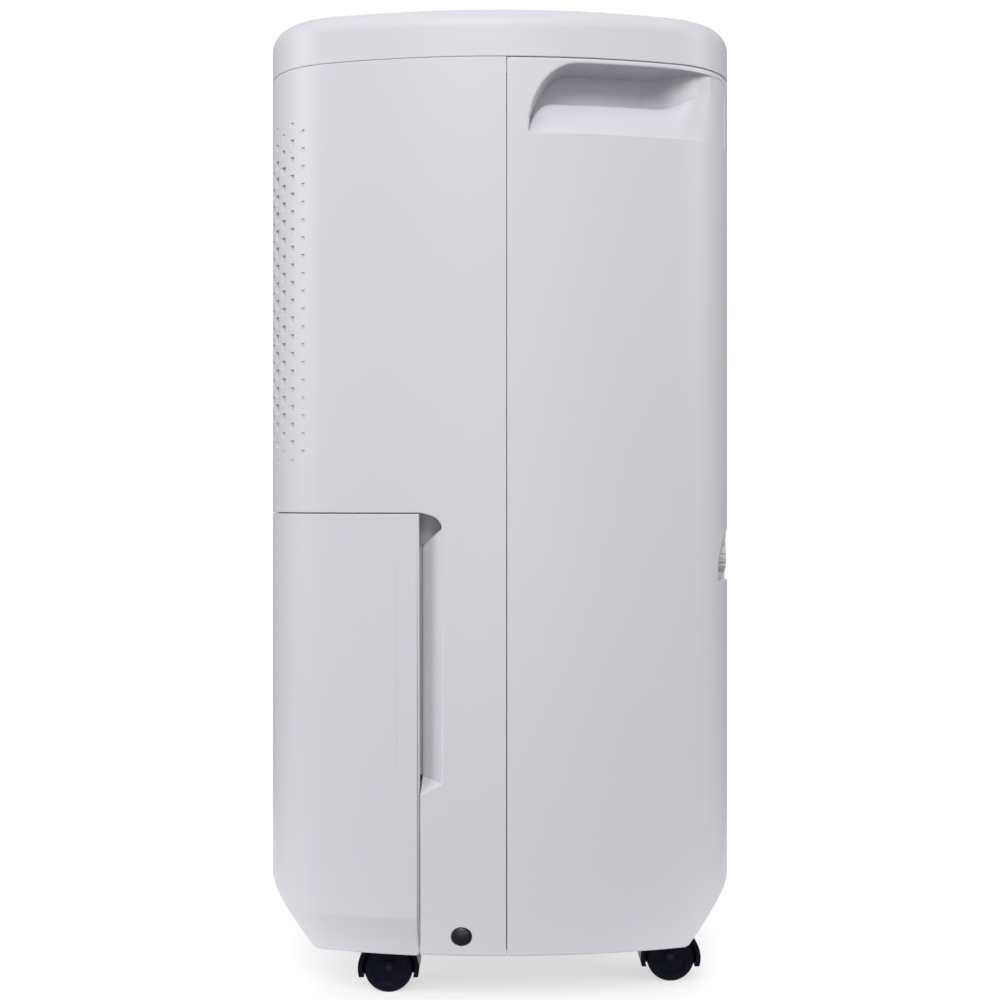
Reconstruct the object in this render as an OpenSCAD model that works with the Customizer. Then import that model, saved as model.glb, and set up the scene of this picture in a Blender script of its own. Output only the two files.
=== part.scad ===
// Portable compressor dehumidifier on four twin-wheel casters.
// +X is the unit's left side, -Y its front with the intake grille and the bucket, +Z is up.
// The origin is on the floor under the middle of the body.

/* [Body] */
// Width of the body, side to side
body_w = 380; // [360:1:400]
// Depth of the body, front to rear
body_d = 300; // [290:1:320]
// Height from the floor to the top of the cap
total_h = 602; // [598:1:620]
// Height of the body's lower edge above the floor
body_z = 32; // [32:1:33]
// Height of the joint between the body and its top cap
cap_z = 570; // [568:1:572]
// Wall thickness of the outer mouldings
wall = 2.6; // [2:0.1:3]
// Plan radius of the bulged sides
side_r = 345; // [330:5:420]
// Plan radius of the bulged front and rear
end_r = 1500; // [1400:50:2000]
// Plan radius of the upright corners
corner_r = 55; // [50:1:58]
// Where the front and rear shells meet, measured from the middle
seam_y = 4; // [2:1:8]
// Height of the bevel along the lower edge of the front and the rear
bevel_h = 41; // [40:0.5:42]
// How far that bevel goes in
bevel_in = 35.5; // [35:0.5:36]
// Height of the crease round the lower edge of the bucket front
crease_z = 53; // [50:1:55]
// How far the bucket front tapers in below the crease
crease_in = 4.5; // [3:0.5:5]

/* [Bucket] */
// Height of the bucket front's upper edge
bucket_z = 297; // [292:1:300]
// Height of the bucket front's lower edge
bucket_low = 30; // [29:0.5:31]
// Where the bucket's side wings end, measured from the middle
bucket_y = -48; // [-50:1:-46]
// Height of the tank's rim
rim_z = 236; // [225:1:238]
// Half the width of the tank
tank_x = 158; // [150:1:160]
// Depth of the finger pocket behind the wing
pocket_in = 16; // [12:1:17]

/* [Hand holds] */
// Height of the hand hold's lower lip
hold_z = 525; // [520:1:528]
// Height of the hand hold
hold_h = 40; // [36:1:41]
// Depth of the hand hold
hold_in = 30; // [24:1:32]
// Front end of the hand hold, measured from the middle
hold_y = 17; // [14:1:24]

/* [Grille] */
// Pitch of the square intake holes up each column
hole_pitch = 10.9; // [10.5:0.1:11]
// Holes in the shorter columns; the longer ones hold one more
hole_rows = 19; // [15:1:19]
// Side of the largest intake hole
hole_size = 6.2; // [4:0.2:6.4]
// Height of the middle of the intake
intake_z = 432; // [428:1:434]

/* [Casters] */
// Radius of a caster wheel
wheel_r = 15; // [14:0.5:15]
// Distance of the front caster stems from the middle, side to side
caster_front_x = 142; // [132:1:143]
// Distance of the rear caster stems from the middle, side to side
caster_rear_x = 119; // [118:1:121]
// Position of the front caster stems
caster_front_y = -79; // [-84:1:-70]
// Position of the rear caster stems
caster_rear_y = 98; // [90:1:98]
// How far the wheels trail behind the stem
trail = 10; // [8:0.5:10]

/* [Hidden] */
$fn = 48;

white = [0.86, 0.86, 0.88];
frosted = [0.80, 0.84, 0.87, 0.6];
black = [0.06, 0.07, 0.09];
grey = [0.55, 0.56, 0.58];
copper = [0.72, 0.45, 0.30];
metal = [0.75, 0.76, 0.78];
far = 2 * max(body_w, body_d);
gap = 0.4; // clearance between fixed mouldings
bevel_run = bevel_in / bevel_h;
bevel_thick = sqrt(1 + bevel_run * bevel_run); // level distance across a bevelled wall of unit thickness

// ---------- plan outline: bulged sides and ends that run into round corners ----------

side_c = [body_w / 2 - side_r, 0];
end_c = [0, body_d / 2 - end_r];

// Meeting point, on the left of the line p to q, of the circles of radius rp about p and rq about q
function meet(p, rp, q, rq) =
    let (e = (q - p) / norm(q - p), a = (rp * rp - rq * rq + norm(q - p) ^ 2) / (2 * norm(q - p)))
    p + a * e + sqrt(rp * rp - a * a) * [-e[1], e[0]];

corner_c = meet(side_c, side_r - corner_r, end_c, end_r - corner_r);
side_t = atan2(corner_c[1] - side_c[1], corner_c[0] - side_c[0]);
end_t = atan2(corner_c[1] - end_c[1], corner_c[0] - end_c[0]);

function arc(c, r, from, to, n, first = 0) =
    [for (i = [first:n]) let (t = from + (to - from) * i / n) c + r * [cos(t), sin(t)]];

function quarter(inset) = concat(
    arc(side_c, side_r - inset, 0, side_t, 4),
    arc(corner_c, corner_r - inset, side_t, end_t, 8, 1),
    arc(end_c, end_r - inset, end_t, 90, 3, 1));

function outline(inset) =
    let (q = quarter(inset), n = len(q) - 1)
    concat(q, [for (i = [n - 1:-1:0]) [-q[i][0], q[i][1]]],
        [for (i = [1:n]) [-q[i][0], -q[i][1]]], [for (i = [n - 1:-1:1]) [q[i][0], -q[i][1]]]);

// Distance of the side wall's surface from the middle plane at a given y
function side_at(y) =
    abs(y) < side_r * sin(side_t)
        ? side_c[0] + sqrt(side_r * side_r - y * y)
        : corner_c[0] + sqrt(corner_r * corner_r - (abs(y) - corner_c[1]) ^ 2);

module prism(inset, z0, z1) {
    translate([0, 0, z0]) linear_extrude(z1 - z0) polygon(outline(inset));
}

// Solid through a list of [z, inset] rings of the plan outline
module loft(rings) {
    n = len(outline(0));
    last = len(rings) - 1;
    points = [for (r = rings) for (p = outline(r[1])) [p[0], p[1], r[0]]];
    walls = [for (k = [0:last - 1]) for (i = [0:n - 1])
        let (j = (i + 1) % n) [k * n + i, (k + 1) * n + i, (k + 1) * n + j, k * n + j]];
    polyhedron(points, concat([[for (i = [0:n - 1]) i]], [[for (i = [n - 1:-1:0]) last * n + i]], walls));
}

// Box given by its low and high corners
module block(low, high) {
    translate(low) cube(high - low);
}

module both_sides() {
    children();
    mirror([1, 0, 0]) children();
}

// Round bar along Y from y0 to y1
module bar_y(r, y0, y1) {
    translate([0, y0, 0]) rotate([-90, 0, 0]) cylinder(r = r, h = y1 - y0);
}

// Round bar along X from x0 to x1
module bar_x(r, x0, x1) {
    translate([x0, 0, 0]) rotate([0, 90, 0]) cylinder(r = r, h = x1 - x0);
}

// Pipe through a list of points
module pipe(points, r) {
    for (i = [0:len(points) - 2]) hull() {
        translate(points[i]) sphere(r = r, $fn = 10);
        translate(points[i + 1]) sphere(r = r, $fn = 10);
    }
}

// ---------- outer shells ----------

// Space from y0 to the bevel plane along the rear's lower edge
module bevel_space(y0, inset, z0, z1) {
    rear = body_d / 2 - bevel_in - inset * bevel_thick;
    rotate([90, 0, 90]) translate([0, 0, -body_w]) linear_extrude(2 * body_w)
        polygon([[y0, z0], [rear + (z0 - body_z) * bevel_run, z0],
            [rear + (z1 - body_z) * bevel_run, z1], [y0, z1]]);
}

// Body volume behind the seam
module rear_volume(inset, z0, z1) {
    intersection() {
        prism(inset, z0, z1);
        bevel_space(seam_y + gap / 4, inset, z0, z1);
    }
}

// Volume of the bucket's front up to y1, with the same bevel and the taper below the crease
module bucket_volume(inset, y1, z0, z1) {
    taper = crease_in / (crease_z - bucket_low);
    intersection() {
        loft([[z0, inset + (crease_z - z0) * taper], [crease_z, inset], [z1, inset]]);
        mirror([0, 1, 0]) bevel_space(-y1, inset, z0, z1);
    }
}

// Hand hold on the +X side: sloped floor, upright back and level ceiling
module hold_space(grow) {
    slope_h = hold_h * 0.58;
    difference() {
        block([body_w / 2 - hold_in - grow, hold_y - grow, hold_z - grow],
            [body_w / 2 + 10, body_d / 2 - 6, hold_z + hold_h + grow]);
        loft([[hold_z - 5, grow], [hold_z - grow, grow], [hold_z - grow + slope_h, hold_in + grow],
            [hold_z + hold_h + 5, hold_in + grow]]);
    }
}

port_x = 127; // middle of the drain port
port_w = 48;
port_z = 256; // lower edge of the drain port
port_y = 125; // back wall of the drain port

// Arched space of the drain port, cut along Y into the rear corner
module port_space(grow, y1) {
    r = port_w / 2 + grow;
    translate([port_x, y1, port_z]) rotate([90, 0, 0]) linear_extrude(y1 - port_y + grow) union() {
        translate([-r, -grow]) square([2 * r, 6 + grow]);
        translate([0, 6]) intersection() {
            circle(r = r);
            translate([-r, 0]) square([2 * r, r]);
        }
    }
}

gland_x = -110;
gland_z = 86;
nozzle_z = 270;

module rear_shell() color(white) difference() {
    union() {
        difference() {
            rear_volume(0, body_z, cap_z - gap);
            rear_volume(wall, body_z - 1, cap_z + 1);
        }
        intersection() {
            rear_volume(0, body_z, cap_z - gap);
            union() {
                both_sides() hold_space(2.2);
                port_space(2.2, body_d / 2);
            }
        }
    }
    both_sides() hold_space(0);
    port_space(0, body_d / 2 + 1);
    translate([port_x, 0, nozzle_z]) bar_y(8.2, port_y - 4, port_y + 1);
    translate([gland_x, 0, gland_z]) bar_y(7.2, body_d / 2 - 30, body_d / 2 + 1);
}

grille_y = -98; // rear edge of the grille's ends
grille_z = [intake_z - 113, intake_z + 114];

module front_shell() color(white) difference() {
    union() {
        difference() {
            prism(0, body_z, cap_z - gap);
            prism(wall, body_z - 1, cap_z + 1);
            block([-far, seam_y - gap / 4, 0], [far, far, total_h]);
            block([-far, -far, 0], [far, bucket_y, bucket_z]);
            block([-far, -far, grille_z[0]], [far, grille_y, grille_z[1]]);
        }
        difference() {
            prism(1, bucket_z, bucket_z + 2.4);
            prism(9, bucket_z - 1, bucket_z + 3);
            block([-filter_x - 3, -body_d / 2 + wall + 0.2, 0], [filter_x + 3, 0, total_h]);
            block([-far, seam_y - gap / 4, 0], [far, far, total_h]);
        }
        both_sides() finger_pocket(2, 2);
    }
    both_sides() finger_pocket(0, 0);
    oval(4, body_w / 2 - 10, body_w / 2 + 1);
    oval(6.5, body_w / 2 - 2.4, body_w / 2 + 1);
}

// Wedge for the fingers behind the bucket's wing, on the +X side
module finger_pocket(grow, cut_back) {
    deep = body_w / 2 - 2 - pocket_in;
    front = bucket_y - 14 + cut_back;
    edge = bucket_y + 13;
    translate([0, 0, 132 - grow]) intersection() {
        linear_extrude(bucket_z - 132 + 2 * grow) polygon([
            [deep - grow, bucket_y + grow], [deep - grow, front],
            [grow > 0 ? deep : far, front], [grow > 0 ? deep : far, bucket_y],
            [grow > 0 ? side_at(edge) - 0.5 : side_at(edge) + 8, grow > 0 ? edge - 1 : edge + 6.5],
            [grow > 0 ? side_at(edge) - 0.5 : side_at(edge) + 8, edge + 7],
            [side_at(edge), edge + grow]]);
        prism(0, 0, total_h);
    }
}

plug_y = -23;
plug_z = 43.5;
plug_flat = 0.88; // height of the oval plug over its width

// Oval prism along X in the plug's place
module oval(r, x0, x1) {
    translate([x0, plug_y, plug_z]) rotate([90, 0, 90]) linear_extrude(x1 - x0)
        polygon([for (t = [0:15:345]) [r * cos(t), plug_flat * r * sin(t)]]);
}

module side_plug() color(black) union() {
    oval(3.9, body_w / 2 - 9, body_w / 2 - 2);
    for (s = [[6.2, 1.4], [5.4, 0.9], [4.2, 0.5], [2.6, 0.2]])
        oval(s[0], body_w / 2 - 2.2, body_w / 2 - s[1]);
}

// Columns stand a hexagonal pitch apart: 25 on the front and 6 round each corner, the outer ones shorter
column_pitch = hole_pitch * sqrt(3) / 2;
front_columns = 25;
corner_columns = 6;
corner_first = 6.4; // degrees round the corner of its first column
front_pitch = (corner_c[0] + corner_r * sin(corner_first)) / (front_columns + 1) * 2;

// Size of a hole against the largest: they shrink towards the edges of the field
function edge_fade(i, n) = min(1, 0.44 + 0.19 * min(i, n - 1 - i));

// Holes of one column, cut along Y; the longer columns have a hole more. across narrows them in X
module hole_column(index, across) {
    count = front_columns + 2 * corner_columns;
    rows = hole_rows + index % 2;
    for (row = [0:rows - 1]) {
        s = hole_size * min(edge_fade(index, count), edge_fade(row, rows));
        translate([0, 0, intake_z + (row - (rows - 1) / 2) * hole_pitch]) cube([s * across, 24, s], center = true);
    }
}

module intake_grille() color(white) difference() {
    intersection() {
        difference() {
            prism(0, grille_z[0] + gap, grille_z[1] - gap);
            prism(wall, 0, total_h);
        }
        block([-far, -far, 0], [far, grille_y - gap, total_h]);
    }
    for (i = [0:front_columns - 1]) translate([(i - (front_columns - 1) / 2) * front_pitch, -body_d / 2, 0])
        hole_column(i + corner_columns, 1);
    both_sides() for (i = [0:corner_columns - 1]) {
        turn = corner_first + i * column_pitch / corner_r * 180 / PI;
        translate([corner_c[0] + corner_r * sin(turn), -corner_c[1] - corner_r * cos(turn), 0])
            hole_column(corner_columns - 1 - i, cos(turn));
    }
}

cap_rings = [[18, 0], [22.5, 0.5], [26, 2], [29, 5], [31, 9.5], [32, 16]]; // heights above cap_z and insets
panel_box = [[-84, -122], [84, -64]];
louvre_box = [[-112, -44], [112, 76]];
top_in = total_h - 3; // underside of the cap's top

module top_cover() color(white) difference() {
    loft(concat([[cap_z, 0]], [for (r = cap_rings) [cap_z + r[0] * (total_h - cap_z) / 32, r[1]]]));
    loft([[cap_z - 1, wall], [total_h - 14, wall], [total_h - 6, 8], [top_in, 18]]);
    block([panel_box[0][0], panel_box[0][1], 0], [panel_box[1][0], panel_box[1][1], total_h + 1]);
    block([louvre_box[0][0], louvre_box[0][1], 0], [louvre_box[1][0], louvre_box[1][1], total_h + 1]);
}

module outlet_louvre() color(white) {
    low = [louvre_box[0][0] + gap, louvre_box[0][1] + gap];
    high = [louvre_box[1][0] - gap, louvre_box[1][1] - gap];
    pitch = 9.4;
    difference() {
        block([low[0], low[1], total_h - 12], [high[0], high[1], total_h - 0.6]);
        block([low[0] + 4, low[1] + 4, 0], [high[0] - 4, high[1] - 4, total_h]);
    }
    for (i = [0:10]) translate([0, low[1] + 12.6 + i * pitch, total_h - 7]) rotate([28, 0, 0])
        cube([high[0] - low[0] - 7, 1.8, 10], center = true);
    for (x = [-36, 36]) block([x - 1, low[1] + 3, total_h - 12], [x + 1, high[1] - 3, total_h - 8.5]);
}

// ---------- controls ----------

button_x = [-66, -44, 44, 66];
button_y = -93;
button_r = 6.5;
panel_top = total_h - 0.8;

module control_panel() color(black) difference() {
    union() {
        block([panel_box[0][0] + gap, panel_box[0][1] + gap, panel_top - 2.4],
            [panel_box[1][0] - gap, panel_box[1][1] - gap, panel_top]);
        for (x = [-78, 78], y = [-116, -70]) translate([x, y, panel_top - 12]) cylinder(r = 3, h = 10);
    }
    for (x = concat(button_x, [0])) translate([x, x == 0 ? button_y - 17 : button_y, 0])
        cylinder(r = button_r + 0.3, h = total_h);
    block([-27, button_y - 6.4, 0], [27, button_y + 17.4, total_h]);
}

module display_lens() color([0.02, 0.02, 0.03]) block([-26.8, button_y - 6.2, panel_top - 2.4],
    [26.8, button_y + 17.2, panel_top - 0.2]);

// Push button with a flange that keeps it in the panel
module push_button(x, y) color(grey) translate([x, y, panel_top - 5.2]) union() {
    cylinder(r = button_r, h = 5.8);
    cylinder(r = button_r + 1.4, h = 2.4);
    translate([0, 0, -2.7]) cylinder(r = 2, h = 3);
}

module control_board() color([0.1, 0.35, 0.2]) {
    difference() {
        block([-80, -118, panel_top - 13.8], [80, -66, panel_top - 12.2]);
        for (x = [-78, 78], y = [-116, -70]) translate([x, y, 0]) cylinder(r = 1.4, h = total_h);
    }
    for (x = concat(button_x, [0])) translate([x, x == 0 ? button_y - 17 : button_y, panel_top - 12.2])
        cylinder(r = 3, h = 3.2);
    block([-24, button_y - 4, panel_top - 12.2], [24, button_y + 15, panel_top - 3.4]);
}

// ---------- base and chassis ----------

pan_z = body_z + 3; // underside of the base pan
pan_top = pan_z + 3.5;
pan_end = body_d / 2 - bevel_in - 3; // front and rear edges of the base pan, measured from the middle

// Plan of the base: full behind the bucket's wings, drawn in under the tank
module base_plan(extra) {
    union() {
        intersection() {
            polygon(outline(wall + 0.5 + extra));
            translate([-far, bucket_y + 1]) square([2 * far, pan_end - bucket_y - 1]);
        }
        intersection() {
            polygon(outline(22 + extra));
            translate([-far, -pan_end]) square([2 * far, pan_end + bucket_y + 2]);
        }
    }
}

stem_places = [for (p = [[caster_front_x, caster_front_y], [caster_rear_x, caster_rear_y]], s = [1, -1])
    [s * p[0], p[1]]];

comp = [-50, 74]; // compressor's axis
comp_r = 48;
foot_r = 60;
comp_turns = [30, 150, 270];

screw_places = [for (p = [[110, 14], [110, 90], [150, -30]], s = [1, -1]) [s * p[0], p[1]]];

module base_pan() color(grey) difference() {
    union() {
        translate([0, 0, pan_z]) linear_extrude(pan_top - pan_z) base_plan(0);
        for (p = stem_places) translate([p[0], p[1], pan_z]) cylinder(r = 6.5, h = 12);
        for (t = comp_turns) translate([comp[0] + foot_r * cos(t), comp[1] + foot_r * sin(t), pan_top - 1])
            cylinder(r = 5, h = 4);
        for (x = [-90, 0, 90]) block([x - 2, -106, pan_top - 1], [x + 2, bucket_y + 40, 47.8]);
    }
    for (p = stem_places) translate([p[0], p[1], pan_z - 1]) cylinder(r = 3, h = 12);
    for (t = comp_turns) translate([comp[0] + foot_r * cos(t), comp[1] + foot_r * sin(t), pan_z + 1.2])
        cylinder(r = 2, h = 10);
    for (p = screw_places) translate([p[0], p[1], pan_z - 1]) cylinder(r = 1.7, h = 6);
}

shelf_z = 300;
bulkhead_y = -3;

// Bulkhead behind the bucket, the shelf that carries the coils, and the coils' end plates
module chassis() color(grey) difference() {
    union() {
        block([-166, bulkhead_y, pan_top], [166, bulkhead_y + 3, shelf_z + 1]);
        intersection() {
            union() {
                block([-far, -132, shelf_z], [far, 0, shelf_z + 3]);
                block([-136, -1, shelf_z], [far, 60, shelf_z + 3]);
            }
            prism(wall + 0.8, shelf_z, shelf_z + 3);
        }
        both_sides() block([plate_x, -128, shelf_z + 2], [plate_x + 2, -2, coil_z[1] + 6]);
    }
    translate([spout[0], spout[1], shelf_z - 1]) cylinder(r = 9, h = 6);
    translate([14, 30, shelf_z - 1]) cylinder(r = 14, h = 6);
    block([96, -40, shelf_z - 1], [118, -12, shelf_z + 4]);
    translate([hose_x + 1, 0, 282]) bar_y(8.5, bulkhead_y - 1, bulkhead_y + 4);
    for (p = pipe_places) translate([0, p[0], p[1]]) bar_x(7, -plate_x - 3, -plate_x + 1);
}

spout = [40, -88];
tray_box = [[-146, -128], [146, -48.5]];
hose_x = 107;

module drip_tray() color(white) difference() {
    union() {
        difference() {
            block([tray_box[0][0], tray_box[0][1], shelf_z + 3], [tray_box[1][0], tray_box[1][1], shelf_z + 21]);
            block([tray_box[0][0] + 2, tray_box[0][1] + 2, shelf_z + 5.5],
                [tray_box[1][0] - 2, tray_box[1][1] - 2, total_h]);
        }
        translate([spout[0], spout[1], shelf_z - 9]) cylinder(r = 8, h = 14);
        translate([hose_x, 0, shelf_z + 10]) bar_y(6, -50, -36);
    }
    translate([spout[0], spout[1], shelf_z - 10]) cylinder(r = 6, h = 20);
    translate([hose_x, 0, shelf_z + 10]) bar_y(4.2, -52, -35);
}

module drain_hose() color([0.3, 0.3, 0.32])
    pipe([[hose_x, -29.3, 310], [hose_x, -23, 304], [hose_x, -21, 292], [hose_x, -12, 284],
        [hose_x + 2, 10, 280], [114, 60, 276], [122, 90, 271], [port_x, 103.9, nozzle_z]], 6.6);

module drain_nozzle() color(black) translate([port_x, 0, nozzle_z]) difference() {
    union() {
        bar_y(8, port_y - 7, port_y + 9);
        bar_y(11, port_y - 6.2, port_y - 2.3);
        bar_y(6.2, port_y - 14.4, port_y - 6);
        for (i = [0:3]) bar_y(8.6, port_y + 1.6 + i * 2, port_y + 2.6 + i * 2);
    }
    bar_y(4.5, port_y - 15, port_y + 10);
}

module drain_cap() color(black) translate([port_x, 0, nozzle_z]) difference() {
    bar_y(11, port_y + 3, port_y + 17.5);
    bar_y(8.8, port_y + 2, port_y + 12);
    for (t = [0:30:330]) rotate([0, t, 0]) translate([11.6, 0, 0]) bar_y(1.2, port_y + 2, port_y + 18);
}

module cord_gland() color(black) translate([gland_x, 0, gland_z]) difference() {
    union() {
        bar_y(7, 126, 142);
        bar_y(9.5, 125, 128.6);
        bar_y(6, 140, 149.4);
    }
    bar_y(3.6, 120, 150);
}

// ---------- bucket ----------

tank_in = 10.5; // inset of the tank's front and corners from the body's outline
tank_back = -8;
tank_z = 48.4;
pin_z = rim_z - 12;
pin_y = -84;

module bucket_panel() color(white) union() {
    difference() {
        bucket_volume(0, bucket_y - 0.8, bucket_low, bucket_z - 0.8);
        bucket_volume(wall, bucket_y + 2, bucket_low - 1, bucket_z);
        block([-9, -far, 86], [9, 0, 226]);
    }
    for (x = [-105, 105], z = [100, 200]) difference() {
        intersection() {
            block([x - 8, -body_d / 2, z], [x + 8, -body_d / 2 + 16, z + 16]);
            prism(1.2, z, z + 16);
        }
        prism(tank_in, z - 1, z + 17);
    }
}

// Solid of the tank's plan: it follows the body at the front, bevel included, and is square at the back
module tank_solid(inset, z0, z1) {
    intersection() {
        translate([0, 0, z0]) linear_extrude(z1 - z0) offset(r = 8) offset(delta = -8) intersection() {
            polygon(outline(tank_in + inset));
            translate([inset - tank_x, -far]) square([2 * (tank_x - inset), far + tank_back - inset]);
        }
        mirror([0, 1, 0]) bevel_space(0, 6 + inset, z0 - 1, z1 + 1);
    }
}

module bucket_tank() color(frosted) union() {
    difference() {
        tank_solid(0, tank_z, rim_z);
        tank_solid(2.4, tank_z + 2.8, rim_z + 1);
    }
    both_sides() translate([0, pin_y, pin_z]) bar_x(4, tank_x - 1, tank_x + 5.6);
}

inlet_r = 24;
float_x = 96;
float_pivot = [float_x, -34, rim_z - 16];

module bucket_lid() color(white) difference() {
    union() {
        tank_solid(0, rim_z + gap, rim_z + 2.6);
        difference() {
            tank_solid(2.7, rim_z - 5, rim_z + 1);
            tank_solid(4.7, rim_z - 6, rim_z + 0.5);
        }
        for (x = [-10, 7]) block([float_x + x, float_pivot[1] - 5, rim_z - 22],
            [float_x + x + 3, float_pivot[1] + 5, rim_z + 1]);
    }
    translate([spout[0], spout[1], rim_z - 1]) cylinder(r = inlet_r, h = 5);
    block([-60, -132, rim_z - 8], [-20, -116, rim_z + 5]);
    translate([float_x, float_pivot[1], float_pivot[2]]) bar_x(2.05, -12, 12);
}

module bucket_float() color([0.9, 0.9, 0.92]) translate(float_pivot) union() {
    bar_x(2, -11, 11);
    bar_x(4.5, -6, 6);
    block([-4, -32, -5], [4, 0, -1]);
    block([-16, -66, -22], [16, -30, -2]);
}

grip_rise = 20;
grip_back = 54;

module bucket_handle() color(grey) translate([0, pin_y, pin_z]) union() {
    both_sides() difference() {
        union() {
            bar_x(7, tank_x + 2, tank_x + 5);
            translate([tank_x + 2, 0, 0]) rotate([atan2(grip_rise, grip_back), 0, 0])
                block([0, 0, -5.5], [3, norm([grip_rise, grip_back]) + 4, 5.5]);
        }
        bar_x(4.05, tank_x, tank_x + 6);
    }
    translate([0, grip_back, grip_rise]) bar_x(4.6, -tank_x - 3.5, tank_x + 3.5);
}

module float_switch() color(black) {
    block([float_x - 14, bulkhead_y - 4.4, rim_z - 18], [float_x + 14, bulkhead_y, rim_z - 4]);
    block([float_x - 10, bulkhead_y + 3, rim_z - 16], [float_x + 10, bulkhead_y + 7, rim_z - 8]);
}

// ---------- filter and coils ----------

filter_x = 112;
filter_y = [-142.4, -138.2];
mesh_pitch = [73, 76.5];

// Middle of each of the filter's nine panes
function panes() = [for (x = [-1, 0, 1], z = [0:2])
    [x * mesh_pitch[0], (filter_y[0] + filter_y[1]) / 2, 361 + z * mesh_pitch[1]]];

module filter_frame() color(grey) difference() {
    union() {
        block([-filter_x, filter_y[0], 322], [filter_x, filter_y[1], 554]);
        block([-20, filter_y[0] + 0.8, 312], [20, filter_y[1] - 0.8, 322.5]);
    }
    for (p = panes()) translate(p) cube([67, 8, 70], center = true);
}

module filter_mesh() color([0.25, 0.26, 0.28]) for (p = panes())
    translate(p) cube([66.8, 0.8, 69.8], center = true);

coil_x = 132;
plate_x = 150.5;
coil_z = [326, 542];
tube_r = 4.2;
tube_pitch = 25;

function tube_places(y0, rows) = [for (r = [0:rows - 1], k = [0:7])
    [y0 + 11 + r * 19, coil_z[0] + 20 + k * tube_pitch]];

// Stack of fins that the tubes pass through
module fin_pack(y0, rows) {
    deep = 3 + 19 * rows;
    for (i = [0:30]) translate([-coil_x + 9 + i * (2 * coil_x - 18) / 30, 0, 0]) rotate([90, 0, 90])
        translate([0, 0, -0.3]) linear_extrude(0.6) difference() {
            translate([y0, coil_z[0]]) square([deep, coil_z[1] - coil_z[0]]);
            for (p = tube_places(y0, rows)) translate(p) circle(r = tube_r);
        }
}

// Serpentine: straight tubes joined by return bends at alternate ends
module serpentine(y0, rows) {
    for (r = [0:rows - 1], k = [0:7]) {
        p = [y0 + 11 + r * 19, coil_z[0] + 20 + k * tube_pitch];
        translate([0, p[0], p[1]]) bar_x(tube_r, -coil_x, coil_x);
        if (k < 7) translate([(k % 2 == 0 ? 1 : -1) * (coil_x - 0.01), p[0], p[1] + tube_pitch / 2])
            rotate([90, 0, 0]) rotate([0, 0, k % 2 == 0 ? -90 : 90])
                rotate_extrude(angle = 180) translate([tube_pitch / 2, 0]) circle(r = tube_r);
    }
}

module evaporator_fins() color(metal) fin_pack(-126, 1);
module evaporator_tubes() color(copper) serpentine(-126, 1);
module condenser_fins() color(metal) fin_pack(-96, 2);
module condenser_tubes() color(copper) serpentine(-96, 2);

// ---------- refrigeration ----------

module compressor() color(black) translate([comp[0], comp[1], 0]) difference() {
    union() {
        rotate_extrude() polygon([[0, 58], [20, 58], [38, 62], [comp_r, 74], [comp_r, 194],
            [41, 210], [24, 219], [0, 222]]);
        for (t = comp_turns) rotate([0, 0, t]) block([0, -13, 58], [foot_r + 9, 13, 61]);
        translate([22, 0, 214]) cylinder(r = 12, h = 18);
        for (y = [-14, 14]) translate([-20, y, 212]) cylinder(r = 4, h = 16);
    }
    for (t = comp_turns) rotate([0, 0, t]) translate([foot_r, 0, 50]) cylinder(r = 6, h = 20);
}

module compressor_grommets() color([0.1, 0.1, 0.1]) for (t = comp_turns)
    translate([comp[0] + foot_r * cos(t), comp[1] + foot_r * sin(t), 0]) difference() {
        union() {
            translate([0, 0, pan_top + 3]) cylinder(r = 9, h = 58 - pan_top - 3);
            translate([0, 0, 57]) cylinder(r = 5.9, h = 5);
            translate([0, 0, 61]) cylinder(r = 8.5, h = 3);
        }
        translate([0, 0, pan_top]) cylinder(r = 3.2, h = 30);
    }

module compressor_nuts() color(metal) for (t = comp_turns)
    translate([comp[0] + foot_r * cos(t), comp[1] + foot_r * sin(t), 0]) union() {
        translate([0, 0, pan_z + 1.2]) cylinder(r = 2, h = 34);
        translate([0, 0, 64]) cylinder(r = 7, h = 1.4);
        translate([0, 0, 65.2]) cylinder(r = 5.5, h = 5, $fn = 6);
    }

drier = [44, 90];

// Where the pipes pass the end plate to meet the coils: y and z
tube_low = coil_z[0] + 20;
tube_top = tube_low + 7 * tube_pitch;
pipe_places = [[-84, tube_low], [-65, tube_low], [-112.5, tube_low], [-112, tube_top]];

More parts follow.
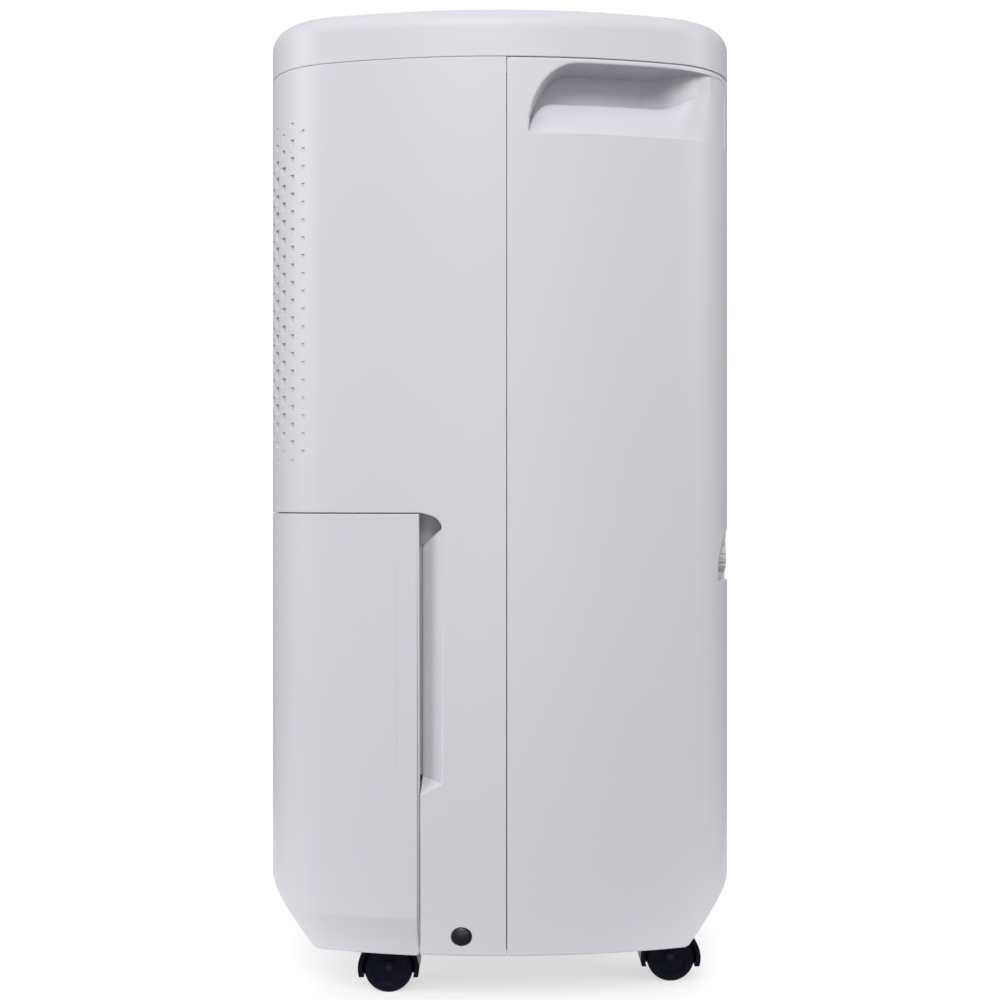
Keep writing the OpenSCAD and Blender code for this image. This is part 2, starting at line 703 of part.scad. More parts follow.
module refrigerant_pipes() color(copper) {
    // hot gas, from the compressor to the condenser
    pipe([[-70, 60, 231.2], [-70, 60, 262], [-116, 44, 285], [-150, 30, 300], [-158, 16, 326],
        [-160, -40, 352], [-160, -72, 354], [-158, -83, 349], [-150, -85, tube_low],
        [-coil_x - 3.1, -85, tube_low]], 3);
    // suction, from the evaporator to the compressor
    pipe([[-70, 88, 231.8], [-70, 88, 256], [-124, 56, 280], [-152, 40, 304], [-160, 30, 330],
        [-161, 0, 480], [-161, -60, 515], [-158, -104, tube_top], [-150, -115, tube_top],
        [-coil_x - 3.7, -115, tube_top]], 3.6);
    // liquid, from the condenser to the drier
    pipe([[-coil_x - 2.5, -66, tube_low], [-150, -66, tube_low], [-157, -60, 342], [-158, -20, 322],
        [-156, 14, 308], [-146, 16, 290], [-100, 12, 276], [0, 14, 262], [drier[0], 60, 240],
        [drier[0], drier[1], 224], [drier[0], drier[1], 216.5]], 2.4);
    // bend that joins the condenser's two rows
    pipe([[-coil_x - 3.5, -85, tube_top], [-142, -85, tube_top], [-145, -80, tube_top],
        [-145, -71, tube_top], [-142, -66, tube_top], [-coil_x - 3.5, -66, tube_top]], 3.4);
    // capillary, from the drier to the evaporator
    pipe([[drier[0], drier[1], 94.5], [drier[0], 80, 84], [20, 20, 84], [0, 8, 100], [-130, 8, 200],
        [-150, 10, 290], [-154, 2, 306], [-157, -40, 316], [-157, -80, 324], [-158, -102, 340],
        [-150, -115, tube_low], [-coil_x - 1.5, -115, tube_low]], 1.4);
}

module filter_drier() color(copper) translate([drier[0], drier[1], 0]) rotate_extrude()
    polygon([[0, 96], [3, 96], [3, 104], [11, 114], [11, 196], [3, 206], [3, 214], [0, 214]]);

// ---------- fan ----------

fan_c = [-12, 430]; // x and z of the fan's axis
fan_r = 82;
scroll_y = [-48, 22];

// Spiral that widens round the fan and runs up into the outlet
function spiral(grow) = [for (t = [0:12:348])
    let (r = fan_r + 8 + 34 * t / 360 + grow) [fan_c[0] + r * cos(t + 14), fan_c[1] + r * sin(t + 14)]];

module scroll_plan(grow) {
    union() {
        polygon(spiral(grow));
        translate([16 - grow, fan_c[1]]) square([fan_c[0] + fan_r + 24 - 16 + 2 * grow, 586 - fan_c[1] + grow]);
    }
}

module upright(y0, y1) {
    translate([0, y1, 0]) rotate([90, 0, 0]) linear_extrude(y1 - y0) children();
}

module fan_scroll() color([0.2, 0.2, 0.22]) difference() {
    upright(scroll_y[0], scroll_y[1]) intersection() {
        scroll_plan(0);
        translate([-150, 310]) square([300, 275.5]);
    }
    upright(scroll_y[0] + 2.4, scroll_y[1] - 2.4) scroll_plan(-2.4);
    translate([fan_c[0], 0, fan_c[1]]) {
        bar_y(fan_r - 12, scroll_y[0] - 1, scroll_y[0] + 5);
        bar_y(12, scroll_y[1] - 5, scroll_y[1] + 1);
    }
    block([19, scroll_y[0] + 3, 560], [fan_c[0] + fan_r + 21, scroll_y[1] - 3, total_h]);
}

shaft_r = 4;
blades = 30;

module fan_wheel() color([0.15, 0.15, 0.17]) translate([fan_c[0], 0, fan_c[1]]) difference() {
    union() {
        bar_y(fan_r, 12, 14.4);
        bar_y(11, -6, 14);
        difference() {
            bar_y(fan_r, -42, -38);
            bar_y(fan_r - 11, -43, -37);
        }
        for (i = [0:blades - 1]) rotate([0, i * 360 / blades, 0])
            block([fan_r - 10, -39, -0.6], [fan_r - 1, 13, 0.6]);
    }
    bar_y(shaft_r, -10, 20);
}

module motor_shaft() color(metal) translate([fan_c[0], 0, fan_c[1]]) bar_y(shaft_r, -10, 70);

module fan_motor() color(metal) translate([fan_c[0], 0, fan_c[1]]) difference() {
    union() {
        bar_y(40, 28, 74);
        bar_y(20, 22.2, 78);
        for (t = [45:90:315]) rotate([0, t, 0]) translate([44, 0, 0]) bar_y(6, 22.2, 34);
        for (t = [45:90:315]) rotate([0, t, 0]) block([36, 29, -5], [44, 33, 5]);
    }
    bar_y(shaft_r + 0.05, 20, 80);
}

// ---------- electronics ----------

ebox = [[-150, 86, 330], [-30, 128, 520]];

module electronics_box() color(grey) difference() {
    block(ebox[0], ebox[1]);
    block(ebox[0] + [2.4, 2.4, 2.4], ebox[1] + [-2.4, 5, -2.4]);
}

module power_board() color([0.1, 0.35, 0.2]) {
    low = ebox[0] + [6, 10, 8];
    block(low, [ebox[1][0] - 6, low[1] + 1.6, ebox[1][2] - 8]);
    for (p = [[20, 30], [20, 80], [60, 120]]) block([low[0] + p[0], low[1] + 1.6, low[2] + p[1]],
        [low[0] + p[0] + 22, low[1] + 17, low[2] + p[1] + 18]);
    for (i = [0:3]) block([low[0] + 12 + i * 22, low[1] + 1.6, low[2] + 4], [low[0] + 24 + i * 22,
        low[1] + 12, low[2] + 16]);
}

module run_capacitor() color(metal) translate([-9.5, 107, 0]) union() {
    translate([0, 0, 340]) cylinder(r = 20, h = 74);
    for (x = [-8, 8]) translate([x, 0, 413]) cylinder(r = 3, h = 8);
}

module humidity_sensor() color(white) {
    block([plate_x - 6, -106, 505], [plate_x - 0.1, -98, 529]);
    block([plate_x - 8, -104, 508], [plate_x - 6, -100, 518]);
}

// ---------- fasteners ----------

module screw(r, h) {
    union() {
        cylinder(r = r / 2, h = h);
        translate([0, 0, -2]) cylinder(r = r, h = 2.2);
    }
}

module case_screws() color(metal)
    for (p = screw_places) translate([p[0], p[1], pan_z - 0.2]) screw(3.4, 9);

// ---------- casters ----------

module at_caster(i) {
    p = stem_places[i];
    translate([p[0], p[1], 0]) children();
}

module caster_stems() color(metal) for (i = [0:3]) at_caster(i) union() {
    translate([0, 0, 17]) cylinder(r = 2.95, h = 16.4);
    translate([0, 0, 34.2]) cylinder(r = 4.2, h = 0.8);
    translate([0, 0, 33]) cylinder(r = 3, h = 12.6);
}

hood_r = wheel_r + 4;
web = 4.6; // half the thickness of the web between the two wheels

module caster_hood(i) color(black) at_caster(i) difference() {
    translate([0, trail, wheel_r]) bar_x(hood_r, -14.5, 14.5);
    block([-20, -30, -20], [20, 50, wheel_r - 5.5]);
    block([-20, -30, body_z - 0.8], [20, 50, 50]);
    translate([0, trail, wheel_r]) {
        bar_x(wheel_r + 1.2, web, 15);
        bar_x(wheel_r + 1.2, -15, -web);
        bar_x(2.05, -10, 10);
    }
    translate([0, 0, 16.6]) cylinder(r = 3, h = 20);
}

module caster_axle(i) color(metal) at_caster(i) translate([0, trail, wheel_r]) bar_x(2, -13, 13);

module caster_wheels(i) color(black) at_caster(i) translate([0, trail, wheel_r])
    for (s = [-1, 1]) scale([s, 1, 1]) difference() {
        rotate([0, 90, 0]) rotate_extrude() polygon([[2, web + 0.7], [6, web + 0.7], [6, web + 2],
            [12, web + 2], [12, web + 0.7], [wheel_r - 0.8, web + 0.7], [wheel_r, web + 1.6],
            [wheel_r, 12.8], [wheel_r - 1, 13.8], [11, 13.8], [9, 12.6], [5, 12.6], [4, 13.4], [2, 13.4]]);
    }

base_pan();
front_shell();
intake_grille();
rear_shell();
top_cover();
outlet_louvre();
control_panel();
display_lens();
control_board();
case_screws();
push_button(0, button_y - 17);  // power_button
push_button(button_x[0], button_y);  // mode_button
push_button(button_x[1], button_y);  // fan_button
push_button(button_x[2], button_y);  // up_button
push_button(button_x[3], button_y);  // down_button
bucket_panel();
bucket_tank();
bucket_lid();
bucket_handle();
bucket_float();
chassis();
drip_tray();
drain_hose();
drain_nozzle();
drain_cap();
side_plug();
filter_frame();
filter_mesh();
evaporator_fins();
evaporator_tubes();
condenser_fins();
condenser_tubes();
compressor();
compressor_grommets();
compressor_nuts();
refrigerant_pipes();
filter_drier();
fan_scroll();
fan_wheel();
fan_motor();
motor_shaft();
electronics_box();
power_board();
run_capacitor();
float_switch();
humidity_sensor();
cord_gland();
caster_stems();
caster_hood(0);  // caster_fl_hood
caster_hood(1);  // caster_fr_hood
caster_hood(2);  // caster_rl_hood
caster_hood(3);  // caster_rr_hood
caster_axle(0);  // caster_fl_axle
caster_axle(1);  // caster_fr_axle
caster_axle(2);  // caster_rl_axle
caster_axle(3);  // caster_rr_axle
caster_wheels(0);  // caster_fl_wheels
caster_wheels(1);  // caster_fr_wheels
caster_wheels(2);  // caster_rl_wheels
caster_wheels(3);  // caster_rr_wheels
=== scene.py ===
import math

import bpy
import numpy as np
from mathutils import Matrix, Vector, geometry


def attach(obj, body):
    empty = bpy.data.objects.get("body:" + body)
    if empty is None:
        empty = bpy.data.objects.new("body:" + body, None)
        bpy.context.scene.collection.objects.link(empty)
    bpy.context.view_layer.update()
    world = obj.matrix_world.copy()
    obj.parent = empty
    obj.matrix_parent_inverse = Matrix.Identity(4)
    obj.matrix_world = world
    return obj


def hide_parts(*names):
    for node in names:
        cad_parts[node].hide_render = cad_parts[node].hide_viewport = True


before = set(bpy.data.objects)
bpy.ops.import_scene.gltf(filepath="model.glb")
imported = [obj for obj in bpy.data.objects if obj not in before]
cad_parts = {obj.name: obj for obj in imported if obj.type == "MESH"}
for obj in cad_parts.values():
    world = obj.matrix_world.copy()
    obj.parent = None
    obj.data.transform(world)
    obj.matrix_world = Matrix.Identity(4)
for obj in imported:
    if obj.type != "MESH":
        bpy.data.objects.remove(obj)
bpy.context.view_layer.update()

# ---------------------------------------------------------------- plan outline
# Lengths are in millimetres until a mesh is made. u runs along the body's outline from the middle of
# the +X side towards the rear; Q is a quarter of the way round, so the middle of the front is at -Q.
MM = 0.001
SIDE_R, END_R, CORNER_R = 345.0, 1500.0, 55.0
HALF_W, HALF_D = 190.0, 150.0
BODY_Z, CAP_Z = 32.0, 570.0
WALL = 2.6
SIDE_C = np.array([HALF_W - SIDE_R, 0.0])
END_C = np.array([0.0, HALF_D - END_R])


def meet(p, rp, q, rq):
    """Meeting point, on the left of p to q, of two circles."""
    d = np.linalg.norm(q - p)
    e = (q - p) / d
    a = (rp * rp - rq * rq + d * d) / (2 * d)
    return p + a * e + math.sqrt(rp * rp - a * a) * np.array([-e[1], e[0]])


CORNER_C = meet(SIDE_C, SIDE_R - CORNER_R, END_C, END_R - CORNER_R)
SIDE_T = math.atan2(CORNER_C[1] - SIDE_C[1], CORNER_C[0] - SIDE_C[0])
END_T = math.atan2(CORNER_C[1] - END_C[1], CORNER_C[0] - END_C[0])
L1 = SIDE_R * SIDE_T
L2 = L1 + CORNER_R * (END_T - SIDE_T)
Q = L2 + END_R * (math.pi / 2 - END_T)


def by_arc(v, side, corner, end):
    """The value that belongs to the arc of the quarter outline that v is on."""
    return np.where(v < L1, side, np.where(v < L2, corner, end))


def outline(u):
    """x, y and the outward normal's x, y at each u."""
    u = (np.asarray(u, float) + 2 * Q) % (4 * Q) - 2 * Q
    v = np.where(np.abs(u) > Q, 2 * Q - np.abs(u), np.abs(u))
    sx = np.where(np.abs(u) > Q, -1.0, 1.0)
    sy = np.where(u < 0, -1.0, 1.0)
    t = by_arc(v, v / SIDE_R, SIDE_T + (v - L1) / CORNER_R, END_T + (v - L2) / END_R)
    r = by_arc(v, SIDE_R, CORNER_R, END_R)
    cx = by_arc(v, SIDE_C[0], CORNER_C[0], END_C[0])
    cy = by_arc(v, SIDE_C[1], CORNER_C[1], END_C[1])
    return sx * (cx + r * np.cos(t)), sy * (cy + r * np.sin(t)), sx * np.cos(t), sy * np.sin(t)


QUARTER = np.concatenate([np.linspace(0, L1, 12, endpoint=False),
                          np.linspace(L1, L2, 18, endpoint=False),
                          np.linspace(L2, Q, 8)])
# The u values at which every face of the body is divided
GRID = np.unique(np.round(np.concatenate([QUARTER, -QUARTER, 2 * Q - QUARTER, QUARTER - 2 * Q]), 6))


def u_at_y(y):
    """u on the +X side where the outline has that y."""
    a = abs(y)
    u = SIDE_R * math.asin(a / SIDE_R)
    if u > L1:
        u = L1 + CORNER_R * (math.asin((a - CORNER_C[1]) / CORNER_R) - SIDE_T)
    return math.copysign(u, y)


def u_at_x(x, inset=0.0):
    """u on the rear half where the outline, moved in by inset, has that x."""
    a = abs(x)
    corner, end = CORNER_R - inset, END_R - inset
    if a > end * math.cos(END_T):
        u = L1 + CORNER_R * (math.acos(min(1.0, (a - CORNER_C[0]) / corner)) - SIDE_T)
    else:
        u = L2 + END_R * (math.acos(a / end) - END_T)
    return u if x > 0 else 2 * Q - u


# The bevel under the front and the rear: half depth at the foot, and how much it gains with height
BEVEL_Y, BEVEL_RUN = 114.5, 35.5 / 41.0
BEVEL_STRETCH = math.hypot(1.0, BEVEL_RUN)
BEVEL_BLEND = 1.3
# The bucket draws in under this height
CREASE_Z, CREASE_SLOPE, CREASE_BLEND = 53.0, 4.5 / 23.0, 0.25


def smooth(t):
    t = np.clip(t, 0, 1)
    return t * t * (3 - 2 * t)


def soft_min(a, b, k):
    h = np.clip(0.5 + 0.5 * (b - a) / k, 0, 1)
    return a * h + b * (1 - h) - k * h * (1 - h)


def place(u, z, inset, kind):
    """Points on the outer surface, inset along its plan normal. kind says how the lower edge slopes."""
    u, z = np.asarray(u, float), np.asarray(z, float)
    x, y, nx, ny = outline(u)
    d = inset + np.zeros_like(x)
    if kind == "bucket":
        d = d - soft_min(np.zeros_like(z), (z - CREASE_Z) * CREASE_SLOPE, CREASE_BLEND)
    x, y = x - nx * d, y - ny * d
    if kind in ("bucket", "rear"):
        limit = BEVEL_Y + (z - BODY_Z) * BEVEL_RUN - BEVEL_STRETCH * inset
        y = np.sign(y) * soft_min(np.abs(y), limit, BEVEL_BLEND)
    return np.stack([x, y, z + np.zeros_like(x)], -1)


def normals_of(u, z, kind):
    step = 0.02
    du = place(u + step, z, 0, kind) - place(u - step, z, 0, kind)
    dz = place(u, z + step, 0, kind) - place(u, z - step, 0, kind)
    n = np.cross(du, dz)
    return n / np.linalg.norm(n, axis=-1, keepdims=True)


# ---------------------------------------------------------------- meshes
class Skin:
    """A mesh in the making: welded points, faces, and corner normals where they are known."""

    def __init__(self):
        self.index, self.points, self.faces, self.normals = {}, [], [], []

    def vert(self, p):
        key = (round(float(p[0]), 3), round(float(p[1]), 3), round(float(p[2]), 3))
        if key not in self.index:
            self.index[key] = len(self.points)
            self.points.append(tuple(float(c) for c in p))
        return self.index[key]

    def face(self, points, normals=None):
        ids, keep = [], []
        for k, p in enumerate(points):
            i = self.vert(p)
            if i not in ids:
                ids.append(i)
                keep.append(k)
        if len(ids) < 3:
            return
        self.faces.append(ids)
        if normals is None:
            self.normals.append([(0, 0, 0)] * len(ids))
        else:
            self.normals.append([tuple(normals[k]) for k in keep])

    def strip(self, rings, normals=None, closed=True):
        """Quads between successive rings of equal counts, from outside inwards, region on their left."""
        for r in range(len(rings) - 1):
            a, b = rings[r], rings[r + 1]
            n = len(a)
            for i in range(n if closed else n - 1):
                j = (i + 1) % n
                given = None
                if normals is not None and normals[r] is not None and normals[r + 1] is not None:
                    given = [normals[r][i], normals[r + 1][i], normals[r + 1][j], normals[r][j]]
                self.face([a[i], b[i], b[j], a[j]], given)

    def mirror(self):
        """Adds the same thing mirrored in X."""
        for ids, normals in list(zip(self.faces, self.normals)):
            points = [self.points[i] for i in reversed(ids)]
            self.face([(-p[0], p[1], p[2]) for p in points],
                      [(-n[0], n[1], n[2]) for n in reversed(normals)])

    def build(self, name):
        """The mesh as an object. Edges of 35 degrees and more are sharp where no normal is given."""
        mesh = bpy.data.meshes.new(name)
        mesh.from_pydata([tuple(c * MM for c in p) for p in self.points], [], self.faces)
        mesh.polygons.foreach_set("use_smooth", [True] * len(mesh.polygons))
        mesh.set_sharp_from_angle(angle=math.radians(35.0))
        flat = [n for normals in self.normals for n in normals]
        if any(n != (0, 0, 0) for n in flat):
            auto = np.zeros(len(mesh.loops) * 3, np.float32)
            mesh.corner_normals.foreach_get("vector", auto)
            auto = auto.reshape(-1, 3)
            given = np.array(flat, np.float32)
            used = np.linalg.norm(given, axis=1) > 0.5
            auto[used] = given[used]
            mesh.normals_split_custom_set([tuple(float(c) for c in n) for n in auto])
        obj = bpy.data.objects.new(name, mesh)
        bpy.context.scene.collection.objects.link(obj)
        return obj


def inside(points, loops):
    """Even-odd test of points against closed loops."""
    seg_a = np.concatenate([np.asarray(l, float) for l in loops])
    seg_b = np.concatenate([np.roll(np.asarray(l, float), -1, axis=0) for l in loops])
    xa, ya = seg_a[None, :, 0], seg_a[None, :, 1]
    xb, yb = seg_b[None, :, 0], seg_b[None, :, 1]
    out = np.zeros(len(points), bool)
    chunk = 1000
    for s in range(0, len(points), chunk):
        p = points[s:s + chunk]
        crosses = (ya > p[:, 1:2]) != (yb > p[:, 1:2])
        with np.errstate(divide="ignore", invalid="ignore"):
            at = xa + (p[:, 1:2] - ya) / (yb - ya) * (xb - xa)
        out[s:s + chunk] = (crosses & (p[:, 0:1] < at)).sum(1) % 2 == 1
    return out


def triangulate(loops, lines):
    """Points and triangles of the region between closed loops, with edges along the lines."""
    verts, edges = [], []
    for loop in loops:
        base = len(verts)
        verts += [Vector((float(p[0]), float(p[1]))) for p in loop]
        edges += [(base + i, base + (i + 1) % len(loop)) for i in range(len(loop))]
    for line in lines:
        base = len(verts)
        verts += [Vector((float(p[0]), float(p[1]))) for p in line]
        edges += [(base + i, base + i + 1) for i in range(len(line) - 1)]
    made = geometry.delaunay_2d_cdt(verts, edges, [], 0, 1e-4)
    points = np.array([tuple(v) for v in made[0]], float)
    tris = np.array([list(f) for f in made[2]], int)
    tris = tris[inside(points[tris].mean(1), loops)]
    return points, tris


def fill(skin, loops, lines, kind, inset=0.0):
    """Covers the region between loops: the outer face at inset 0, else the inner face."""
    points, tris = triangulate(loops, lines)
    pos = place(points[:, 0], points[:, 1], inset, kind)
    nor = normals_of(points[:, 0], points[:, 1], kind)
    if inset:
        tris, nor = tris[:, ::-1], -nor
    for t in tris:
        skin.face(pos[t], nor[t])


def verticals(us, z0, z1):
    """Lines for fill at each of the u values."""
    return [[(u, z0), (u, z1)] for u in us]


def densify(loop):
    """Splits edges where they cross the grid's u values, so that they follow the curve."""
    near = 0.05
    out = []
    for i, start in enumerate(loop):
        a, b = np.array(start, float), np.array(loop[(i + 1) % len(loop)], float)
        out.append(a)
        lo, hi = min(a[0], b[0]) + near, max(a[0], b[0]) - near
        if hi > lo:
            cuts = [(g - a[0]) / (b[0] - a[0]) for g in GRID if lo < g < hi]
            out += [a + (b - a) * c for c in sorted(cuts)]
    return np.array(out)


def spread_radii(points):
    """The loop split at the grid, with each new edge's radius."""
    loop, radii = [], []
    n = len(points)
    for i in range(n):
        a, b = points[i][0], points[(i + 1) % n][0]
        part = densify([a, b, a])
        count = 1
        while count < len(part) and not np.allclose(part[count], b):
            count += 1
        loop += [tuple(p) for p in part[:count]]
        radii += [points[i][1]] * count
    return np.array(loop), np.array(radii)


def offset(loop, dist):
    """Loop moved to its left by dist, a number or one per edge."""
    loop = np.asarray(loop, float)
    n = len(loop)
    dist = np.zeros(n) + dist
    edge = np.roll(loop, -1, axis=0) - loop
    edge /= np.linalg.norm(edge, axis=1, keepdims=True)
    left = np.stack([-edge[:, 1], edge[:, 0]], -1)
    nearly_straight = 0.05
    out = np.zeros_like(loop)
    for i in range(n):
        a, b = left[i - 1], left[i]
        if abs(a[0] * b[1] - a[1] * b[0]) < nearly_straight:
            m = a + b
            out[i] = loop[i] + m / (m @ m) * (dist[i - 1] + dist[i])
        else:
            out[i] = loop[i] + np.linalg.solve(np.array([a, b]), [dist[i - 1], dist[i]])
    return out


def edge_rings(loop, radius, kind, steps=4):
    """Rounded edge along a loop that has the region on its left.

    Gives the region's own loop, and the rings and normals from it round to the nominal edge."""
    loop = np.asarray(loop, float)
    radius = np.zeros(len(loop)) + radius
    at_vertex = np.maximum(radius, np.roll(radius, 1))
    out_dir = place(*loop.T, 0, kind) - place(*offset(loop, np.full(len(loop), 0.5)).T, 0, kind)
    out_dir /= np.linalg.norm(out_dir, axis=1, keepdims=True)
    rings, normals = [], []
    for k in range(steps + 1):
        phi = math.pi / 2 * (1 - k / steps)
        u, z = offset(loop, radius * (1 - math.cos(phi))).T
        rings.append(place(u, z, at_vertex * (1 - math.sin(phi)), kind))
        n = math.sin(phi) * normals_of(u, z, kind) + math.cos(phi) * out_dir
        normals.append(n / np.linalg.norm(n, axis=1, keepdims=True))
    return offset(loop, radius), rings, normals


def edged(skin, loop, radius, kind):
    """Rounded edge with the wall's thickness behind it. Returns the region's own loop."""
    own, rings, normals = edge_rings(loop, radius, kind)
    rings.append(place(loop[:, 0], loop[:, 1], WALL, kind))
    normals.append(normals[-1])
    skin.strip(rings, normals)
    return own


def rounded_box(u0, u1, z0, z1, corners, per=8):
    """Clockwise loop with elliptical corners, each (ru, rz).

    They go bottom left, top left, top right, bottom right."""
    out = []
    spots = [((u0, z0), (1, 1), 270, 180), ((u0, z1), (1, -1), 180, 90),
             ((u1, z1), (-1, -1), 90, 0), ((u1, z0), (-1, 1), 360, 270)]
    for (corner, way, t0, t1), (ru, rz) in zip(spots, corners):
        cu, cz = corner[0] + way[0] * ru, corner[1] + way[1] * rz
        for k in range(per + 1):
            t = math.radians(t0 + (t1 - t0) * k / per)
            out.append((cu + ru * math.cos(t), cz + rz * math.sin(t)))
    return np.array(out)


def circle(x, z, radius):
    """Points of a circle on a plane face, anticlockwise."""
    return [(x + radius * math.cos(t), z + radius * math.sin(t)) for t in np.radians(range(0, 360, 15))]


def bevel_height(u, kind):
    """Height at which the bevel runs into the outline at u, found by repeated substitution."""
    _, y, _, ny = outline(u)
    z = 44.0
    for _ in range(30):
        taper = max(0.0, (CREASE_Z - z) * CREASE_SLOPE) if kind == "bucket" else 0.0
        z = 0.5 * z + 0.5 * (BODY_Z + (abs(y - ny * taper) - BEVEL_Y) / BEVEL_RUN)
    return z


def crease_lines(kind, u0, u1):
    """Where the bevel plane runs into the outline, with a line each side of it."""
    beside, lowest = 1.7, 26
    lines = []
    for shift in (-beside, 0, beside):
        for sign in (-1, 1):
            line = []
            for g in GRID[(GRID > u0) & (GRID < u1)]:
                x, y, _, _ = outline(g)
                if kind == "rear" and y < 0:
                    continue
                z = bevel_height(g, kind)
                if (x > 0) == (sign > 0) and z > lowest:
                    line.append((g, z + shift))
            if len(line) > 1:
                lines.append(sorted(line))
    return lines


# ---------------------------------------------------------------- materials
def socket(node, name, value):
    node.inputs[name].default_value = value


def add_node(tree, kind, **values):
    """A new node with some of its inputs set."""
    node = tree.nodes.new(kind)
    for name, value in values.items():
        socket(node, name.replace("_", " "), value)
    return node


def new_material(name):
    """A material with its tree and its shader."""
    material = bpy.data.materials.new(name)
    material.use_nodes = True
    return material, material.node_tree, material.node_tree.nodes["Principled BSDF"]


def plastic(name, colour, rough, bump=0.02, grain=900.0, spread=0.03, metallic=0.0, drift=0.05,
            **extra):
    """Moulded or metal finish: a slow drift of colour, and a fine grain in roughness and bump."""
    material, tree, shader = new_material(name)
    where = add_node(tree, "ShaderNodeTexCoord")
    slow = add_node(tree, "ShaderNodeTexNoise", Scale=9.0, Detail=3.0)
    ramp = add_node(tree, "ShaderNodeValToRGB")
    dark, light = ramp.color_ramp.elements
    dark.position, light.position = 0.3, 0.7
    dark.color = (*[c * (1 - spread) for c in colour], 1)
    light.color = (*[min(1.0, c * (1 + spread)) for c in colour], 1)
    fine = add_node(tree, "ShaderNodeTexNoise", Scale=grain, Detail=2.0)
    level = add_node(tree, "ShaderNodeMapRange", To_Min=max(0.0, rough - drift),
                     To_Max=min(1.0, rough + drift))
    lump = add_node(tree, "ShaderNodeBump", Strength=bump, Distance=0.0005)
    link = tree.links.new
    link(where.outputs["Object"], slow.inputs["Vector"])
    link(where.outputs["Object"], fine.inputs["Vector"])
    link(slow.outputs["Fac"], ramp.inputs["Fac"])
    link(ramp.outputs["Color"], shader.inputs["Base Color"])
    link(fine.outputs["Fac"], level.inputs["Value"])
    link(level.outputs["Result"], shader.inputs["Roughness"])
    link(fine.outputs["Fac"], lump.inputs["Height"])
    link(lump.outputs["Normal"], shader.inputs["Normal"])
    socket(shader, "Metallic", metallic)
    for key, value in extra.items():
        socket(shader, key.replace("_", " "), value)
    return material


FINISHES = {
    "shell_white": dict(colour=(0.66, 0.665, 0.70), rough=0.42, bump=0.03, grain=1400.0, spread=0.006),
    "inner_white": dict(colour=(0.60, 0.61, 0.63), rough=0.45, spread=0.02),
    "inner_grey": dict(colour=(0.20, 0.205, 0.215), rough=0.5, bump=0.05, spread=0.04),
    "black_plastic": dict(colour=(0.0045, 0.005, 0.011), rough=0.28, spread=0.12,
                          Specular_IOR_Level=0.04),
    "panel_black": dict(colour=(0.012, 0.013, 0.016), rough=0.22, spread=0.10, Specular_IOR_Level=0.12),
    "lens_dark": dict(colour=(0.006, 0.006, 0.008), rough=0.06, bump=0.0, spread=0.15, drift=0.02),
    "button_grey": dict(colour=(0.33, 0.335, 0.35), rough=0.38, spread=0.03),
    "tank_clear": dict(colour=(0.78, 0.84, 0.88), rough=0.30, spread=0.02, Transmission_Weight=0.75,
                       IOR=1.45),
    "rubber_black": dict(colour=(0.008, 0.008, 0.012), rough=0.34, bump=0.04, spread=0.12,
                         Specular_IOR_Level=0.45),
    "wheel_black": dict(colour=(0.0045, 0.005, 0.011), rough=0.38, bump=0.04, spread=0.12,
                        Specular_IOR_Level=0.04),
    "steel": dict(colour=(0.55, 0.55, 0.56), rough=0.35, metallic=1.0, spread=0.05),
    "painted_black": dict(colour=(0.012, 0.012, 0.014), rough=0.36, bump=0.06, spread=0.15,
                          Specular_IOR_Level=0.12),
    "aluminium_fin": dict(colour=(0.62, 0.63, 0.64), rough=0.34, metallic=1.0, spread=0.04),
    "copper": dict(colour=(0.60, 0.27, 0.15), rough=0.30, metallic=1.0, spread=0.08),
    "board_green": dict(colour=(0.012, 0.09, 0.035), rough=0.4, spread=0.12),
    "mesh_grey": dict(colour=(0.05, 0.053, 0.058), rough=0.6, bump=0.4, grain=500.0, spread=0.1),
}
MATERIALS = {name: plastic(name, **finish) for name, finish in FINISHES.items()}


def wear(obj, slot_name):
    """Gives a piece its material and its slot."""
    obj.data.materials.clear()
    obj.data.materials.append(MATERIALS[slot_name])


BUTTONS = ["power_button", "mode_button", "fan_button", "up_button", "down_button"]
CASTERS = ["caster_fl", "caster_fr", "caster_rl", "caster_rr"]
HOODS = [caster + "_hood" for caster in CASTERS]
AXLES = [caster + "_axle" for caster in CASTERS]
WHEELS = [caster + "_wheels" for caster in CASTERS]
SLOT_NODES = {
    "inner_grey": ["base_pan", "bucket_handle", "chassis", "filter_frame", "electronics_box"],
    "shell_white": ["front_shell", "intake_grille", "rear_shell", "top_cover", "outlet_louvre",
                    "bucket_panel"],
    "panel_black": ["control_panel"],
    "lens_dark": ["display_lens"],
    "board_green": ["control_board", "power_board"],
    "steel": ["case_screws", "compressor_nuts", "fan_motor", "motor_shaft", "run_capacitor",
              "caster_stems"],
    "button_grey": BUTTONS,
    "tank_clear": ["bucket_tank"],
    "inner_white": ["drain_cap", "bucket_lid", "bucket_float", "drip_tray", "humidity_sensor"],
    "rubber_black": ["drain_hose", "side_plug", "compressor_grommets"],
    "black_plastic": ["drain_nozzle", "fan_scroll", "fan_wheel", "float_switch", "cord_gland"] + HOODS,
    "mesh_grey": ["filter_mesh"],
    "aluminium_fin": ["evaporator_fins", "condenser_fins"],
    "copper": ["evaporator_tubes", "condenser_tubes", "refrigerant_pipes", "filter_drier"],
    "painted_black": ["compressor"] + AXLES,
    "wheel_black": WHEELS,
}
